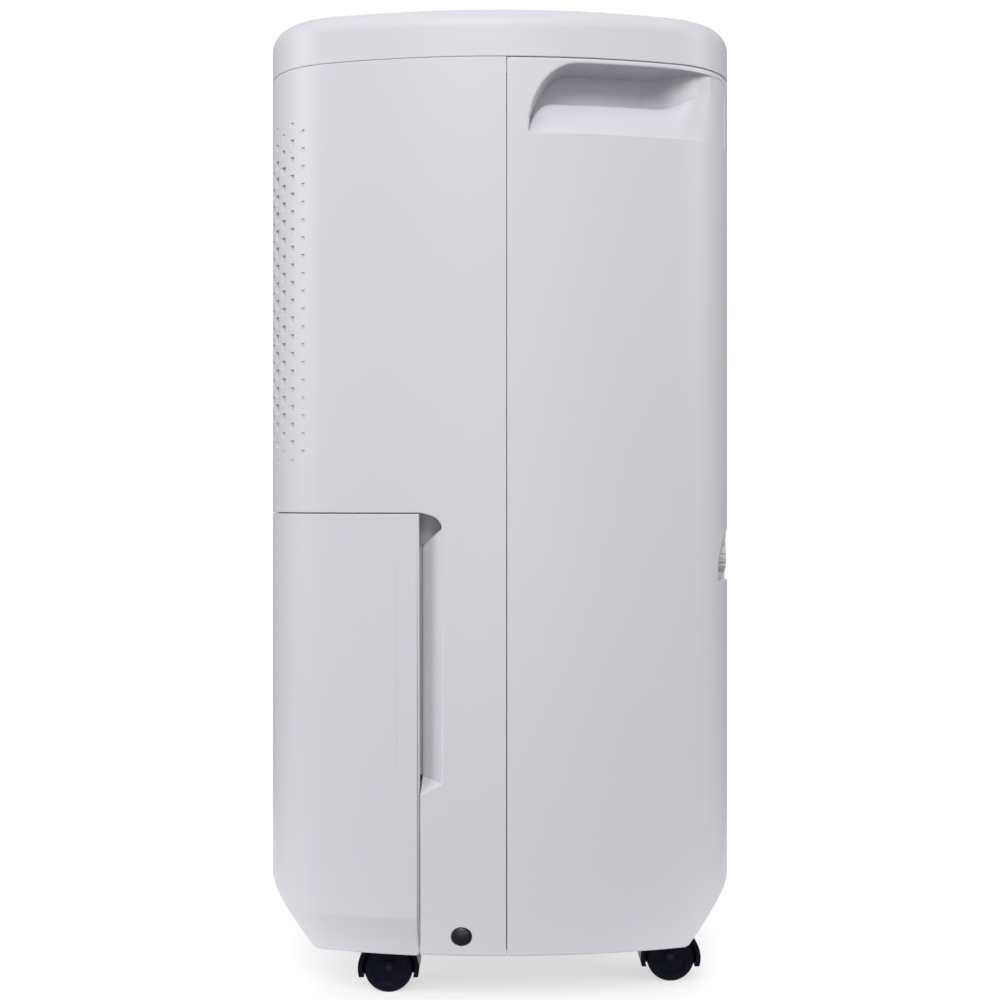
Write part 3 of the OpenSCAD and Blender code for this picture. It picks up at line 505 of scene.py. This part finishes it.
# Width of the rounding given to the edges of CAD nodes that are shown
ROUNDED = {"outlet_louvre": 0.5, "control_panel": 0.5, "drain_cap": 0.5, "cord_gland": 0.6,
           "bucket_lid": 0.3, "bucket_float": 1.0, "bucket_handle": 0.8, "filter_frame": 0.5,
           "bucket_tank": 0.5, "drain_nozzle": 0.3, "float_switch": 0.4, "humidity_sensor": 0.4}
ROUNDED.update({name: 0.5 for name in BUTTONS})
ROUNDED.update({name: 0.7 for name in HOODS})
ROUNDED.update({name: 0.4 for name in WHEELS})

for slot_name, names in SLOT_NODES.items():
    for name in names:
        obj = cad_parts[name]
        wear(obj, slot_name)
        if name in ROUNDED:
            bevel = obj.modifiers.new("rounding", "BEVEL")
            bevel.width = ROUNDED[name] * MM
            bevel.segments = 2
            bevel.limit_method = "ANGLE"
            bevel.angle_limit = math.radians(40)
            bevel.harden_normals = False

# ---------------------------------------------------------------- front casing
SEAM_Y, SEAM_GAP = 4.0, 0.2
TOP_EDGE = CAP_Z - 0.12
U_SEAM_FRONT = u_at_y(SEAM_Y - SEAM_GAP)
U_BUCKET = u_at_y(-48.0)
U_STRIP = u_at_y(-35.0)
# Radii of the casings' edges
SEAM_EDGE, CAP_EDGE, FOOT_EDGE, WING_EDGE, POCKET_EDGE, BUCKET_EDGE = 0.3, 0.6, 1.2, 0.6, 1.0, 0.4
# Heights of the finger pocket's edge: its low corner, the ramp's foot, the arch's foot and its top
POCKET_LOW_Z, RAMP_FOOT_Z, ARCH_Z, POCKET_TOP_Z = 128.2, 135.0, 287.5, 297.0
ARCH_W, ARCH_H = 11.0, 8.3
# The pocket's floor, the hollow's floor and the inside of the wing, in x
RAMP_X, HOLLOW_X, WING_X = 172.0, 163.0, 184.5
POCKET_FAR_Y = -62.0
RAMP_SECTION = ((RAMP_X + 4.5, -46.8), (RAMP_X, -47.5), (RAMP_X, POCKET_FAR_Y), (WING_X, POCKET_FAR_Y))
RAMP_LOW_Z, RAMP_HIGH_Z, HOLLOW_TOP_Z = 137.5, 276.5, 296.6
PLUG_Y, PLUG_Z, PLUG_FLAT = -23.0, 43.5, 0.88
PLUG_SEAT_R, PLUG_SEAT_DEPTH, PLUG_HOLE_R = 6.5, 1.6, 4.0
# Heights between which the faces are divided at the grid, and those of the intake field
LINES_Z = (0, 600)
BELOW_FIELD_Z, ABOVE_FIELD_Z, BESIDE_HOLES_Z = (0, 318), (546, 600), (314, 550)
HOLE_PITCH, HOLE_ROWS, HOLE_SIZE, INTAKE_Z = 10.9, 19, 6.2, 432.0
FRONT_COLUMNS, CORNER_COLUMNS, CORNER_FIRST = 25, 6, math.radians(6.4)
COLUMN_PITCH = HOLE_PITCH * math.sqrt(3) / 2
FRONT_PITCH = (CORNER_C[0] + CORNER_R * math.sin(CORNER_FIRST)) / (FRONT_COLUMNS + 1) * 2
# How much wider a hole is than its size at each depth
HOLE_RIM = ((0.2, 0.0), (0.06, 0.06), (0.0, 0.2), (0.0, WALL))


def front_loop():
    """Edge of the front casing and the radius of each of its edges, with the casing on its left."""
    near = [((U_BUCKET, BODY_Z), WING_EDGE), ((U_BUCKET, POCKET_LOW_Z), POCKET_EDGE),
            ((U_STRIP, RAMP_FOOT_Z), POCKET_EDGE), ((U_STRIP, ARCH_Z), POCKET_EDGE)]
    for t in np.radians((15, 30, 45, 60, 75)):
        u, z = U_STRIP - ARCH_W + ARCH_W * math.cos(t), ARCH_Z + ARCH_H * math.sin(t)
        near.append(((u, z), POCKET_EDGE))
    near.append(((U_BUCKET - 0.5, POCKET_TOP_Z), BUCKET_EDGE))
    far_seam = -2 * Q - U_SEAM_FRONT
    points = [((U_SEAM_FRONT, BODY_Z), SEAM_EDGE), ((U_SEAM_FRONT, TOP_EDGE), CAP_EDGE),
              ((far_seam, TOP_EDGE), SEAM_EDGE), ((far_seam, BODY_Z), FOOT_EDGE)]
    points += [((-2 * Q - p[0], p[1]), r) for p, r in near]
    for i in reversed(range(len(near))):
        points.append((near[i][0], near[i - 1][1] if i else FOOT_EDGE))
    return points


def columns():
    """x of every column of intake holes, with its number and how far its holes narrow in x."""
    out = []
    count = FRONT_COLUMNS + 2 * CORNER_COLUMNS
    for i in range(FRONT_COLUMNS):
        out.append(((i - (FRONT_COLUMNS - 1) / 2) * FRONT_PITCH, i + CORNER_COLUMNS, 1.0))
    for i in range(CORNER_COLUMNS):
        turn = CORNER_FIRST + i * COLUMN_PITCH / CORNER_R
        x = CORNER_C[0] + CORNER_R * math.sin(turn)
        out.append((x, CORNER_COLUMNS - 1 - i, math.cos(turn)))
        out.append((-x, count - CORNER_COLUMNS + i, math.cos(turn)))
    return sorted(out)


def fade(i, n):
    """Size of the i-th of n holes: they shrink towards the edges of the field."""
    smallest, gain = 0.44, 0.19
    return min(1.0, smallest + gain * min(i, n - 1 - i))


def intake_holes(skin, cols):
    """Walls of the holes. Gives their outer and inner loops, and the u values beside each column."""
    outer, inner, beside = [], [], []
    for x, number, across in cols:
        rows = HOLE_ROWS + number % 2
        for row in range(rows):
            half = HOLE_SIZE * min(fade(number, len(cols)), fade(row, rows)) / 2
            z = INTAKE_Z + (row - (rows - 1) / 2) * HOLE_PITCH
            rings = []
            for grow, inset in HOLE_RIM:
                half_x, half_z = half * across + grow, half + grow
                u0, u1 = -u_at_x(x - half_x, inset), -u_at_x(x + half_x, inset)
                loop = [(u0, z + half_z), (u1, z + half_z), (u1, z - half_z), (u0, z - half_z)]
                rings.append(place(*np.array(loop).T, inset, "front"))
                if inset == 0.0:
                    outer.append(loop)
            inner.append(loop)
            skin.strip(rings)
        beside += [u0 - 0.3, u1 + 0.3]
    return outer, inner, beside


def plug_loop(r):
    """Oval round the side plug, clockwise."""
    return np.array([(u_at_y(PLUG_Y + r * math.cos(t)), PLUG_Z + PLUG_FLAT * r * math.sin(t))
                     for t in np.radians(np.arange(350, -5, -10.0))])


def plug_recess(skin):
    """Seat of the side plug. Gives its loops in the outer and the inner face."""
    seat, hole = plug_loop(PLUG_SEAT_R), plug_loop(PLUG_HOLE_R)
    own, rings, normals = edge_rings(seat, 0.25, "front", 2)
    skin.strip(rings, normals)
    skin.strip([rings[-1], place(*seat.T, PLUG_SEAT_DEPTH, "front"),
                place(*hole.T, PLUG_SEAT_DEPTH, "front"), place(*hole.T, WALL, "front")])
    return own, hole


def finger_pockets(skin, loop):
    """Ramp behind each wing of the bucket, and the hollow above it."""
    pocket = Skin()
    u, z = loop.T
    first = np.flatnonzero((np.abs(z - POCKET_LOW_Z) < 0.01) & (u > -Q))[0]
    last = np.flatnonzero((np.abs(z - POCKET_TOP_Z) < 0.01) & (u > U_BUCKET - 0.6))[0]
    edge = loop[last:first + 1][::-1]
    surface = place(edge[:, 0], edge[:, 1], 1.0, "front")
    on_ramp = edge[:, 1] < ARCH_Z + 0.1
    depth_z = np.where(edge[on_ramp, 1] < RAMP_FOOT_Z + 1, RAMP_LOW_Z, RAMP_HIGH_Z)
    rings = [surface[on_ramp]]
    for x, y in RAMP_SECTION:
        rings.append(np.array([(x, y, z) for z in depth_z]))
    pocket.strip(rings, closed=False)
    upper = surface[edge[:, 1] > ARCH_Z - 0.1]
    if upper[0][2] < upper[-1][2]:
        upper = upper[::-1]
    inner = upper.copy()
    inner[:, 0] = HOLLOW_X
    pocket.strip([upper, inner], closed=False)
    ramp_end = rings[1][depth_z > RAMP_LOW_Z][0]
    low = np.array([HOLLOW_X, -48.0, RAMP_HIGH_Z])
    far_low, far_top, wing_low, wing_top = [
        np.array([x, POCKET_FAR_Y, z]) for x in (HOLLOW_X, WING_X) for z in (RAMP_HIGH_Z, HOLLOW_TOP_Z)]
    pocket.face([upper[-1], ramp_end, low, inner[-1]])
    pocket.face(list(inner) + [low])
    pocket.face([inner[0], low, far_low, far_top])
    pocket.face([far_top, far_low, wing_low, wing_top])
    pocket.face([upper[0], inner[0], far_top, wing_top])
    pocket.mirror()
    # Flat faces, moved out by a hair so that they aren't welded to the casing
    for ids in pocket.faces:
        corners = np.array([pocket.points[i] for i in ids]) * (1.00002, 1, 1)
        flat = np.cross(corners, np.roll(corners, -1, axis=0)).sum(0)
        skin.face(corners, [flat / np.linalg.norm(flat)] * len(ids))


def build_front():
    skin = Skin()
    loop, radii = spread_radii(front_loop())
    own = edged(skin, loop, radii, "front")
    cols = columns()
    holes_out, holes_in, beside = intake_holes(skin, cols)
    recess, hole = plug_recess(skin)
    low, high = -u_at_x(cols[0][0]) - 6, -u_at_x(cols[-1][0]) + 6
    over_field = [g for g in GRID if low < g < high]
    plain = [g for g in GRID if -2 * Q - U_SEAM_FRONT < g < U_SEAM_FRONT and not low < g < high]
    lines = verticals(plain, *LINES_Z)
    lines += verticals(over_field, *BELOW_FIELD_Z)
    lines += verticals(over_field, *ABOVE_FIELD_Z)
    lines += verticals(beside, *BESIDE_HOLES_Z)
    fill(skin, [own] + holes_out + [recess], lines, "front")
    fill(skin, [loop] + holes_in + [hole], lines, "front", WALL)
    finger_pockets(skin, loop)
    obj = skin.build("front_casing")
    wear(obj, "shell_white")
    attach(obj, "casing")
    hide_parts("front_shell", "intake_grille")


# ---------------------------------------------------------------- rear casing
REAR_CAP_EDGE = 1.8
HOLD_IN, HOLD_Z, HOLD_TOP = 30.0, 525.0, 566.4
HOLD_EDGE = 1.1
# Depths of the recess and its floor's heights there: the lip stands up in front of the hollow
HOLD_STEPS = [(3.5, 529.6), (6.5, 535.4), (9.5, 540.6), (12.0, 543.6), (14.0, 544.9), (16.0, 545.0),
              (18.0, 543.6), (20.5, 541.0), (24.0, 539.5), (30.0, 539.5)]
PORT_X, PORT_Z, PORT_R, PORT_ARCH_Z, PORT_EDGE = 127.0, 254.4, 24.0, 262.0, 0.9
PORT_BACK_Y, PORT_INNER_Y = 125.0, 122.8
NOZZLE_Z, NOZZLE_HOLE_R = 270.0, 8.4
GLAND_X, GLAND_Z, GLAND_HOLE_R = -110.0, 86.0, 7.3


def hold_mouth():
    """Mouth of the +X hand hold, clockwise, with its long edges split."""
    corners = [(1.5, 1.5), (30, 39.5), (8, 10), (2, 1.5)]
    loop = rounded_box(u_at_y(17.0), u_at_y(141.0), HOLD_Z, HOLD_TOP, corners)
    longest = 3.0
    out = []
    for a, b in zip(loop, np.roll(loop, -1, axis=0)):
        parts = max(1, int(math.ceil(np.linalg.norm(b - a) / longest)))
        out += [a + (b - a) * k / parts for k in range(parts)]
    return np.array(out)


def lip_radius(u):
    """Rounding of the recess's edge, which is sharper at the rear corner."""
    return HOLD_EDGE - 0.85 * smooth((np.abs(outline(u)[1]) - 100.0) / 26.0)


def hold_depth(u, depth):
    """How far in the recess goes at each u: it runs out towards the rear corner."""
    y = np.abs(outline(u)[1])
    return lip_radius(u) + (depth - HOLD_EDGE) * (1 - smooth((y - 96.0) / 36.0))


def hold_floor(u, z):
    """Height of the floor at each u, where it has the given height in the middle.

    It starts low at the seam's end, and rises higher than in the middle at the rear corner."""
    y = np.abs(outline(u)[1])
    start = np.clip((y - 15.5) / 20.0, 0, 1)
    rise = 0.10 + 0.90 * (1 - (1 - start) ** 3) + 0.55 * smooth((y - 104.0) / 30.0)
    return HOLD_Z + (z - HOLD_Z) * rise


def hold_ring(mouth, depth, floor):
    """Ring of the recess at that depth, drawn in at its ends, with nothing of it under the floor."""
    draw_in, droop = 0.11, 0.02
    low, high = mouth[:, 0].min(), mouth[:, 0].max()
    u = mouth[:, 0] + ((low + high) / 2 - mouth[:, 0]) / ((high - low) / 2) * draw_in * depth
    z = np.minimum(np.maximum(mouth[:, 1], hold_floor(u, floor)), HOLD_TOP - droop * depth)
    return np.stack([u, z], -1)


def hand_hold(skin, mouth):
    """The recess behind a mouth. Gives the mouth's loop in the outer face."""
    own, rings, normals = edge_rings(mouth, lip_radius(mouth[:, 0]), "rear")
    skin.strip(rings, normals)
    walls = [rings[-1]]
    for depth, floor in HOLD_STEPS:
        ring = hold_ring(mouth, depth, floor)
        walls.append(place(ring[:, 0], ring[:, 1], hold_depth(ring[:, 0], depth), "rear"))
    skin.strip(walls)
    bottom = ring[::-1]
    u, z = bottom.T
    lines = verticals(np.arange(u.min(), u.max(), 5.0)[1:], z.min() - 2, z.max() + 2)
    points, tris = triangulate([bottom], lines)
    pos = place(points[:, 0], points[:, 1], hold_depth(points[:, 0], HOLD_IN), "rear")
    for t in tris:
        skin.face(pos[t])
    return own


def drain_port(skin):
    """Arched recess at the rear corner, with the nozzle's hole. Gives its own and its nominal loop."""
    left, right = PORT_X - PORT_R, PORT_X + PORT_R
    arch = [(right, PORT_Z)]
    arch += [(PORT_X + PORT_R * math.cos(t), PORT_ARCH_Z + PORT_R * math.sin(t))
             for t in np.radians(range(0, 181, 12))]
    arch += [(left + 2 * PORT_R * k / 8, PORT_Z) for k in range(8)]
    port = np.array([(u_at_x(x), z) for x, z in arch])
    own, rings, normals = edge_rings(port, PORT_EDGE, "rear")
    skin.strip(rings, normals)
    skin.strip([rings[-1], np.array([(x, PORT_BACK_Y, z) for x, z in arch])])
    hole = circle(PORT_X, NOZZLE_Z, NOZZLE_HOLE_R)
    points, tris = triangulate([arch, hole], [])
    for t in tris:
        skin.face([(points[k][0], PORT_BACK_Y, points[k][1]) for k in t[::-1]])
    skin.strip([[(x, y, z) for x, z in hole] for y in (PORT_BACK_Y, PORT_INNER_Y)])
    return own, port


def gland_hole(skin):
    """Hole of the cord gland. Gives its own and its nominal loop."""
    gland = np.array([(u_at_x(x), z) for x, z in circle(GLAND_X, GLAND_Z, GLAND_HOLE_R)])
    own, rings, normals = edge_rings(gland, 0.4, "rear", 2)
    skin.strip(rings, normals)
    skin.strip([rings[-1], rings[-1] - np.array([0, WALL, 0])])
    return own, gland


def build_rear():
    skin = Skin()
    u0, u1 = u_at_y(SEAM_Y + SEAM_GAP), 2 * Q - u_at_y(SEAM_Y + SEAM_GAP)
    corners = [((u0, BODY_Z), FOOT_EDGE), ((u1, BODY_Z), SEAM_EDGE), ((u1, TOP_EDGE), REAR_CAP_EDGE),
               ((u0, TOP_EDGE), SEAM_EDGE)]
    loop, radii = spread_radii(corners)
    own = edged(skin, loop, radii, "rear")
    mouth = hold_mouth()
    region, nominal = [own], [loop]
    for side in (mouth, np.array([(2 * Q - p[0], p[1]) for p in mouth[::-1]])):
        region.append(hand_hold(skin, side))
        nominal.append(side)
    for cut in (drain_port, gland_hole):
        own, outer = cut(skin)
        region.append(own)
        nominal.append(outer)
    lines = verticals([g for g in GRID if u0 < g < u1], *LINES_Z) + crease_lines("rear", u0, u1)
    fill(skin, region, lines, "rear")
    fill(skin, nominal, lines, "rear", WALL)
    obj = skin.build("rear_casing")
    wear(obj, "shell_white")
    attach(obj, "casing")
    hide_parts("rear_shell")


# ---------------------------------------------------------------- bucket front
WING_Y = -48.8
PANEL_LOW_Z, PANEL_HIGH_Z = 30.0, 296.4
WINDOW_HALF, WINDOW_LOW_Z, WINDOW_HIGH_Z, WINDOW_R, WINDOW_EDGE = 9.0, 86.0, 226.0, 8.9, 1.2
CREASE_BAND = 1.3


def build_bucket():
    skin = Skin()
    right = u_at_y(WING_Y)
    left = -2 * Q - right
    chamfer = ((2.5, PANEL_LOW_Z), (0.8, 31.0), (0.0, 33.5))
    foot = [((right - du, z), POCKET_EDGE) for du, z in chamfer]
    far = [((left + du, z), POCKET_EDGE) for du, z in chamfer]
    corners = [((left + chamfer[0][0], PANEL_LOW_Z), FOOT_EDGE)] + foot
    corners += [((right, PANEL_HIGH_Z), BUCKET_EDGE), ((left, PANEL_HIGH_Z), POCKET_EDGE)]
    corners += [far[2], far[1]]
    loop, radii = spread_radii(corners)
    own = edged(skin, loop, radii, "bucket")
    window = rounded_box(-Q - WINDOW_HALF, -Q + WINDOW_HALF, WINDOW_LOW_Z, WINDOW_HIGH_Z,
                         [(WINDOW_R, WINDOW_R)] * 4, 6)
    own_window = edged(skin, window, WINDOW_EDGE, "bucket")
    lines = verticals([g for g in GRID if left < g < right], 0, 320)
    lines += [[(left - 5, z), (right + 5, z)]
              for z in (CREASE_Z - CREASE_BAND, CREASE_Z, CREASE_Z + CREASE_BAND)]
    lines += crease_lines("bucket", left, right)
    fill(skin, [own, own_window], lines, "bucket")
    fill(skin, [loop, window], lines, "bucket", WALL)
    obj = skin.build("bucket_front")
    wear(obj, "shell_white")
    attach(obj, "bucket")
    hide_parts("bucket_panel")


# ---------------------------------------------------------------- cap
CAP_GAP, CAP_RIM = 0.02, 0.4
CAP_STRAIGHT_Z, CAP_ROUND_Z, CAP_ROUND_H, CAP_ROUND_IN = CAP_Z + 9, CAP_Z + 18, 13.9, 16.0
CAP_POWER, CAP_STEPS = 2.25, 14
PANEL_BOX, LOUVRE_BOX = (-84, 84, -122, -64), (-112, 112, -44, 76)
OPENING_EDGE, OPENING_DEPTH, OPENING_CORNER = 0.7, 3.0, 2.0


def cap_profile():
    """z and inset from the inside of the wall, over the rim, up the side and round to the top."""
    profile = [(CAP_Z + WALL, WALL), (CAP_Z + CAP_GAP, WALL), (CAP_Z + CAP_GAP, CAP_RIM)]
    for t in np.radians((30, 60, 90)):
        rise = CAP_RIM - (CAP_RIM - CAP_GAP) * math.cos(t)
        profile.append((CAP_Z + rise, CAP_RIM - CAP_RIM * math.sin(t)))
    profile.append((CAP_STRAIGHT_Z, 0.0))
    for a in np.radians(np.linspace(0, 90, CAP_STEPS + 1)):
        s, c = math.sin(a) ** (2 / CAP_POWER), max(0.0, math.cos(a)) ** (2 / CAP_POWER)
        profile.append((CAP_ROUND_Z + CAP_ROUND_H * s, CAP_ROUND_IN * (1 - c)))
    return profile


def cap_slope(profile, k):
    """How the profile runs at its k-th point, in z and in inset, or None where its edges are sharp."""
    if k < 3:
        return None
    if k == 3:
        return math.tan(math.radians(30)), -1.0
    if k in (5, 6, 7):
        return 1.0, 0.0
    if k == len(profile) - 1:
        return 0.0, 1.0
    (z0, d0), (z1, d1) = profile[k - 1], profile[k + 1]
    return z1 - z0, d1 - d0


def cap_opening(skin, box, z_top):
    """Rounded edge and wall of an opening in the top. Gives its loop in the top face."""
    corner = rounded_box(*box, [(OPENING_CORNER, OPENING_CORNER)] * 4, 4)
    rings = []
    for phi in np.radians((90, 60, 30, 0)):
        moved = offset(corner, OPENING_EDGE * (1 - math.cos(phi)))
        rings.append([(p[0], p[1], z_top - OPENING_EDGE * (1 - math.sin(phi))) for p in moved])
    rings.append([(p[0], p[1], z_top - OPENING_DEPTH) for p in corner])
    skin.strip(rings)
    return offset(corner, OPENING_EDGE)


def build_cap():
    skin = Skin()
    us = np.unique(np.round(GRID, 5))[:-1]
    us = us[(us >= -2 * Q) & (us < 2 * Q - 0.01)][::-1]
    profile = cap_profile()
    _, _, nx, ny = outline(us)
    rings, normals = [], []
    for k, (z, inset) in enumerate(profile):
        rings.append(place(us, np.full(len(us), z), inset, "front"))
        slope = cap_slope(profile, k)
        if slope is None:
            normals.append(None)
            continue
        dz, dd = np.array(slope) / math.hypot(*slope)
        normals.append(np.stack([nx * dz, ny * dz, np.full(len(us), dd)], -1))
    skin.strip(rings, normals)
    z_top = rings[-1][0][2]
    openings = [cap_opening(skin, box, z_top) for box in (PANEL_BOX, LOUVRE_BOX)]
    points, tris = triangulate([rings[-1][::-1, :2]] + openings, [])
    for t in tris:
        skin.face([(points[k][0], points[k][1], z_top) for k in t], [(0, 0, 1)] * 3)
    obj = skin.build("top_cap")
    wear(obj, "shell_white")
    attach(obj, "casing")
    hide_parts("top_cover")


# ---------------------------------------------------------------- side plug
def build_plug():
    """Domed oval head of the side plug, with its stem."""
    skin = Skin()
    sides = 48
    stem_r, head_r = 3.9, 6.2
    dome_x, dome_h = 188.45, 1.4
    turn = np.linspace(0, 2 * math.pi, sides + 1)[:-1]
    shape = [(180.6, stem_r), (187.7, stem_r), (187.7, 5.9), (187.85, head_r)]
    shape += [(dome_x + dome_h * math.sin(t), head_r * math.cos(t))
              for t in np.radians(np.arange(0, 90, 9.0))]
    rings = []
    for x, r in shape:
        y, z = PLUG_Y + r * np.cos(turn), PLUG_Z + PLUG_FLAT * r * np.sin(turn)
        rings.append(np.stack([np.full(sides, x), y, z], -1))
    skin.strip(rings)
    skin.face(list(rings[-1]))
    skin.face(list(rings[0][::-1]))
    obj = skin.build("plug_head")
    wear(obj, "rubber_black")
    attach(obj, "side_plug")
    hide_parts("side_plug")


build_front()
build_rear()
build_bucket()
build_cap()
build_plug()

# ---------------------------------------------------------------- stage
scene = bpy.context.scene
# The floor ends just in front of the wheels, so that what is nearer than they are stays white
FLOOR_HALF, FLOOR_NEAR, FLOOR_GREY = 0.38, 0.205, 0.50

floor_mesh = bpy.data.meshes.new("floor")
floor_mesh.from_pydata([(-FLOOR_HALF, -FLOOR_HALF, 0), (FLOOR_NEAR, -FLOOR_HALF, 0),
                        (FLOOR_NEAR, FLOOR_HALF, 0), (-FLOOR_HALF, FLOOR_HALF, 0)], [], [(0, 1, 2, 3)])
floor = bpy.data.objects.new("floor", floor_mesh)
pale, tree, shader = new_material("floor_pale")
cloud = add_node(tree, "ShaderNodeTexNoise", Scale=3.0)
ramp = add_node(tree, "ShaderNodeValToRGB")
ramp.color_ramp.elements[0].color = (*[FLOOR_GREY * 0.985] * 3, 1)
ramp.color_ramp.elements[1].color = (*[FLOOR_GREY] * 3, 1)
tree.links.new(cloud.outputs["Fac"], ramp.inputs["Fac"])
tree.links.new(ramp.outputs["Color"], shader.inputs["Base Color"])
socket(shader, "Roughness", 0.9)
socket(shader, "Emission Color", (1, 1, 1, 1))
socket(shader, "Emission Strength", 0.60)
floor_mesh.materials.append(pale)
scene.collection.objects.link(floor)

# Brightness of the surroundings from straight down (0) to straight up (1). The backdrop is white.
SKY = [(0.0, 0.12), (0.47, 0.20), (0.52, 0.42), (0.75, 0.40), (1.0, 0.42)]
SKY_TINT = (1.0, 0.965, 1.015)
world = bpy.data.worlds.new("studio")
scene.world = world
world.use_nodes = True
tree = world.node_tree
sky = tree.nodes["Background"]
white = add_node(tree, "ShaderNodeBackground", Color=(1.0, 1.0, 1.0, 1), Strength=1.05)
ray = add_node(tree, "ShaderNodeLightPath")
mix = add_node(tree, "ShaderNodeMixShader")
where = add_node(tree, "ShaderNodeTexCoord")
split = add_node(tree, "ShaderNodeSeparateXYZ")
height = add_node(tree, "ShaderNodeMapRange", From_Min=-1.0)
dome = add_node(tree, "ShaderNodeValToRGB")
while len(dome.color_ramp.elements) < len(SKY):
    dome.color_ramp.elements.new(0.5)
for element, (position, level) in zip(dome.color_ramp.elements, SKY):
    element.position = position
    element.color = (*[level * c for c in SKY_TINT], 1)
join = tree.links.new
join(where.outputs["Generated"], split.inputs[0])
join(split.outputs["Z"], height.inputs["Value"])
join(height.outputs["Result"], dome.inputs["Fac"])
join(dome.outputs["Color"], sky.inputs["Color"])
join(ray.outputs["Is Camera Ray"], mix.inputs[0])
join(sky.outputs[0], mix.inputs[1])
join(white.outputs[0], mix.inputs[2])
join(mix.outputs[0], tree.nodes["World Output"].inputs["Surface"])


def area_light(name, location, target_z, size_x, size_y, power):
    """An area light that points at the body's axis at the given height."""
    data = bpy.data.lights.new(name, "AREA")
    data.shape = "RECTANGLE"
    data.size, data.size_y, data.energy = size_x, size_y, power
    obj = bpy.data.objects.new(name, data)
    obj.location = location
    aim = Vector((0.0, 0.0, target_z)) - Vector(location)
    obj.rotation_euler = aim.to_track_quat("-Z", "Y").to_euler()
    scene.collection.objects.link(obj)


area_light("key", (2.90, -0.22, 2.20), 0.30, 1.5, 1.5, 57)
area_light("low", (3.0, 0.1, 0.18), 0.25, 1.2, 0.6, 8)
area_light("side_front", (1.0, -2.9, 1.3), 0.30, 1.6, 1.6, 36)
area_light("side_rear", (0.9, 2.9, 1.4), 0.30, 1.6, 1.6, 26)
area_light("back", (-2.6, 0.3, 2.2), 0.30, 1.6, 1.6, 30)

camera_data = bpy.data.cameras.new("camera")
camera = bpy.data.objects.new("camera", camera_data)
scene.collection.objects.link(camera)
scene.camera = camera
camera_data.sensor_width = 36.0
camera_data.lens = 57.26
camera.location = (1.140, 0.0, 0.3047)
camera.rotation_euler = (math.radians(90), 0.0, math.radians(90))
camera_data.clip_start, camera_data.clip_end = 0.01, 60.0

scene.view_settings.view_transform = "Standard"
scene.view_settings.look = "None"
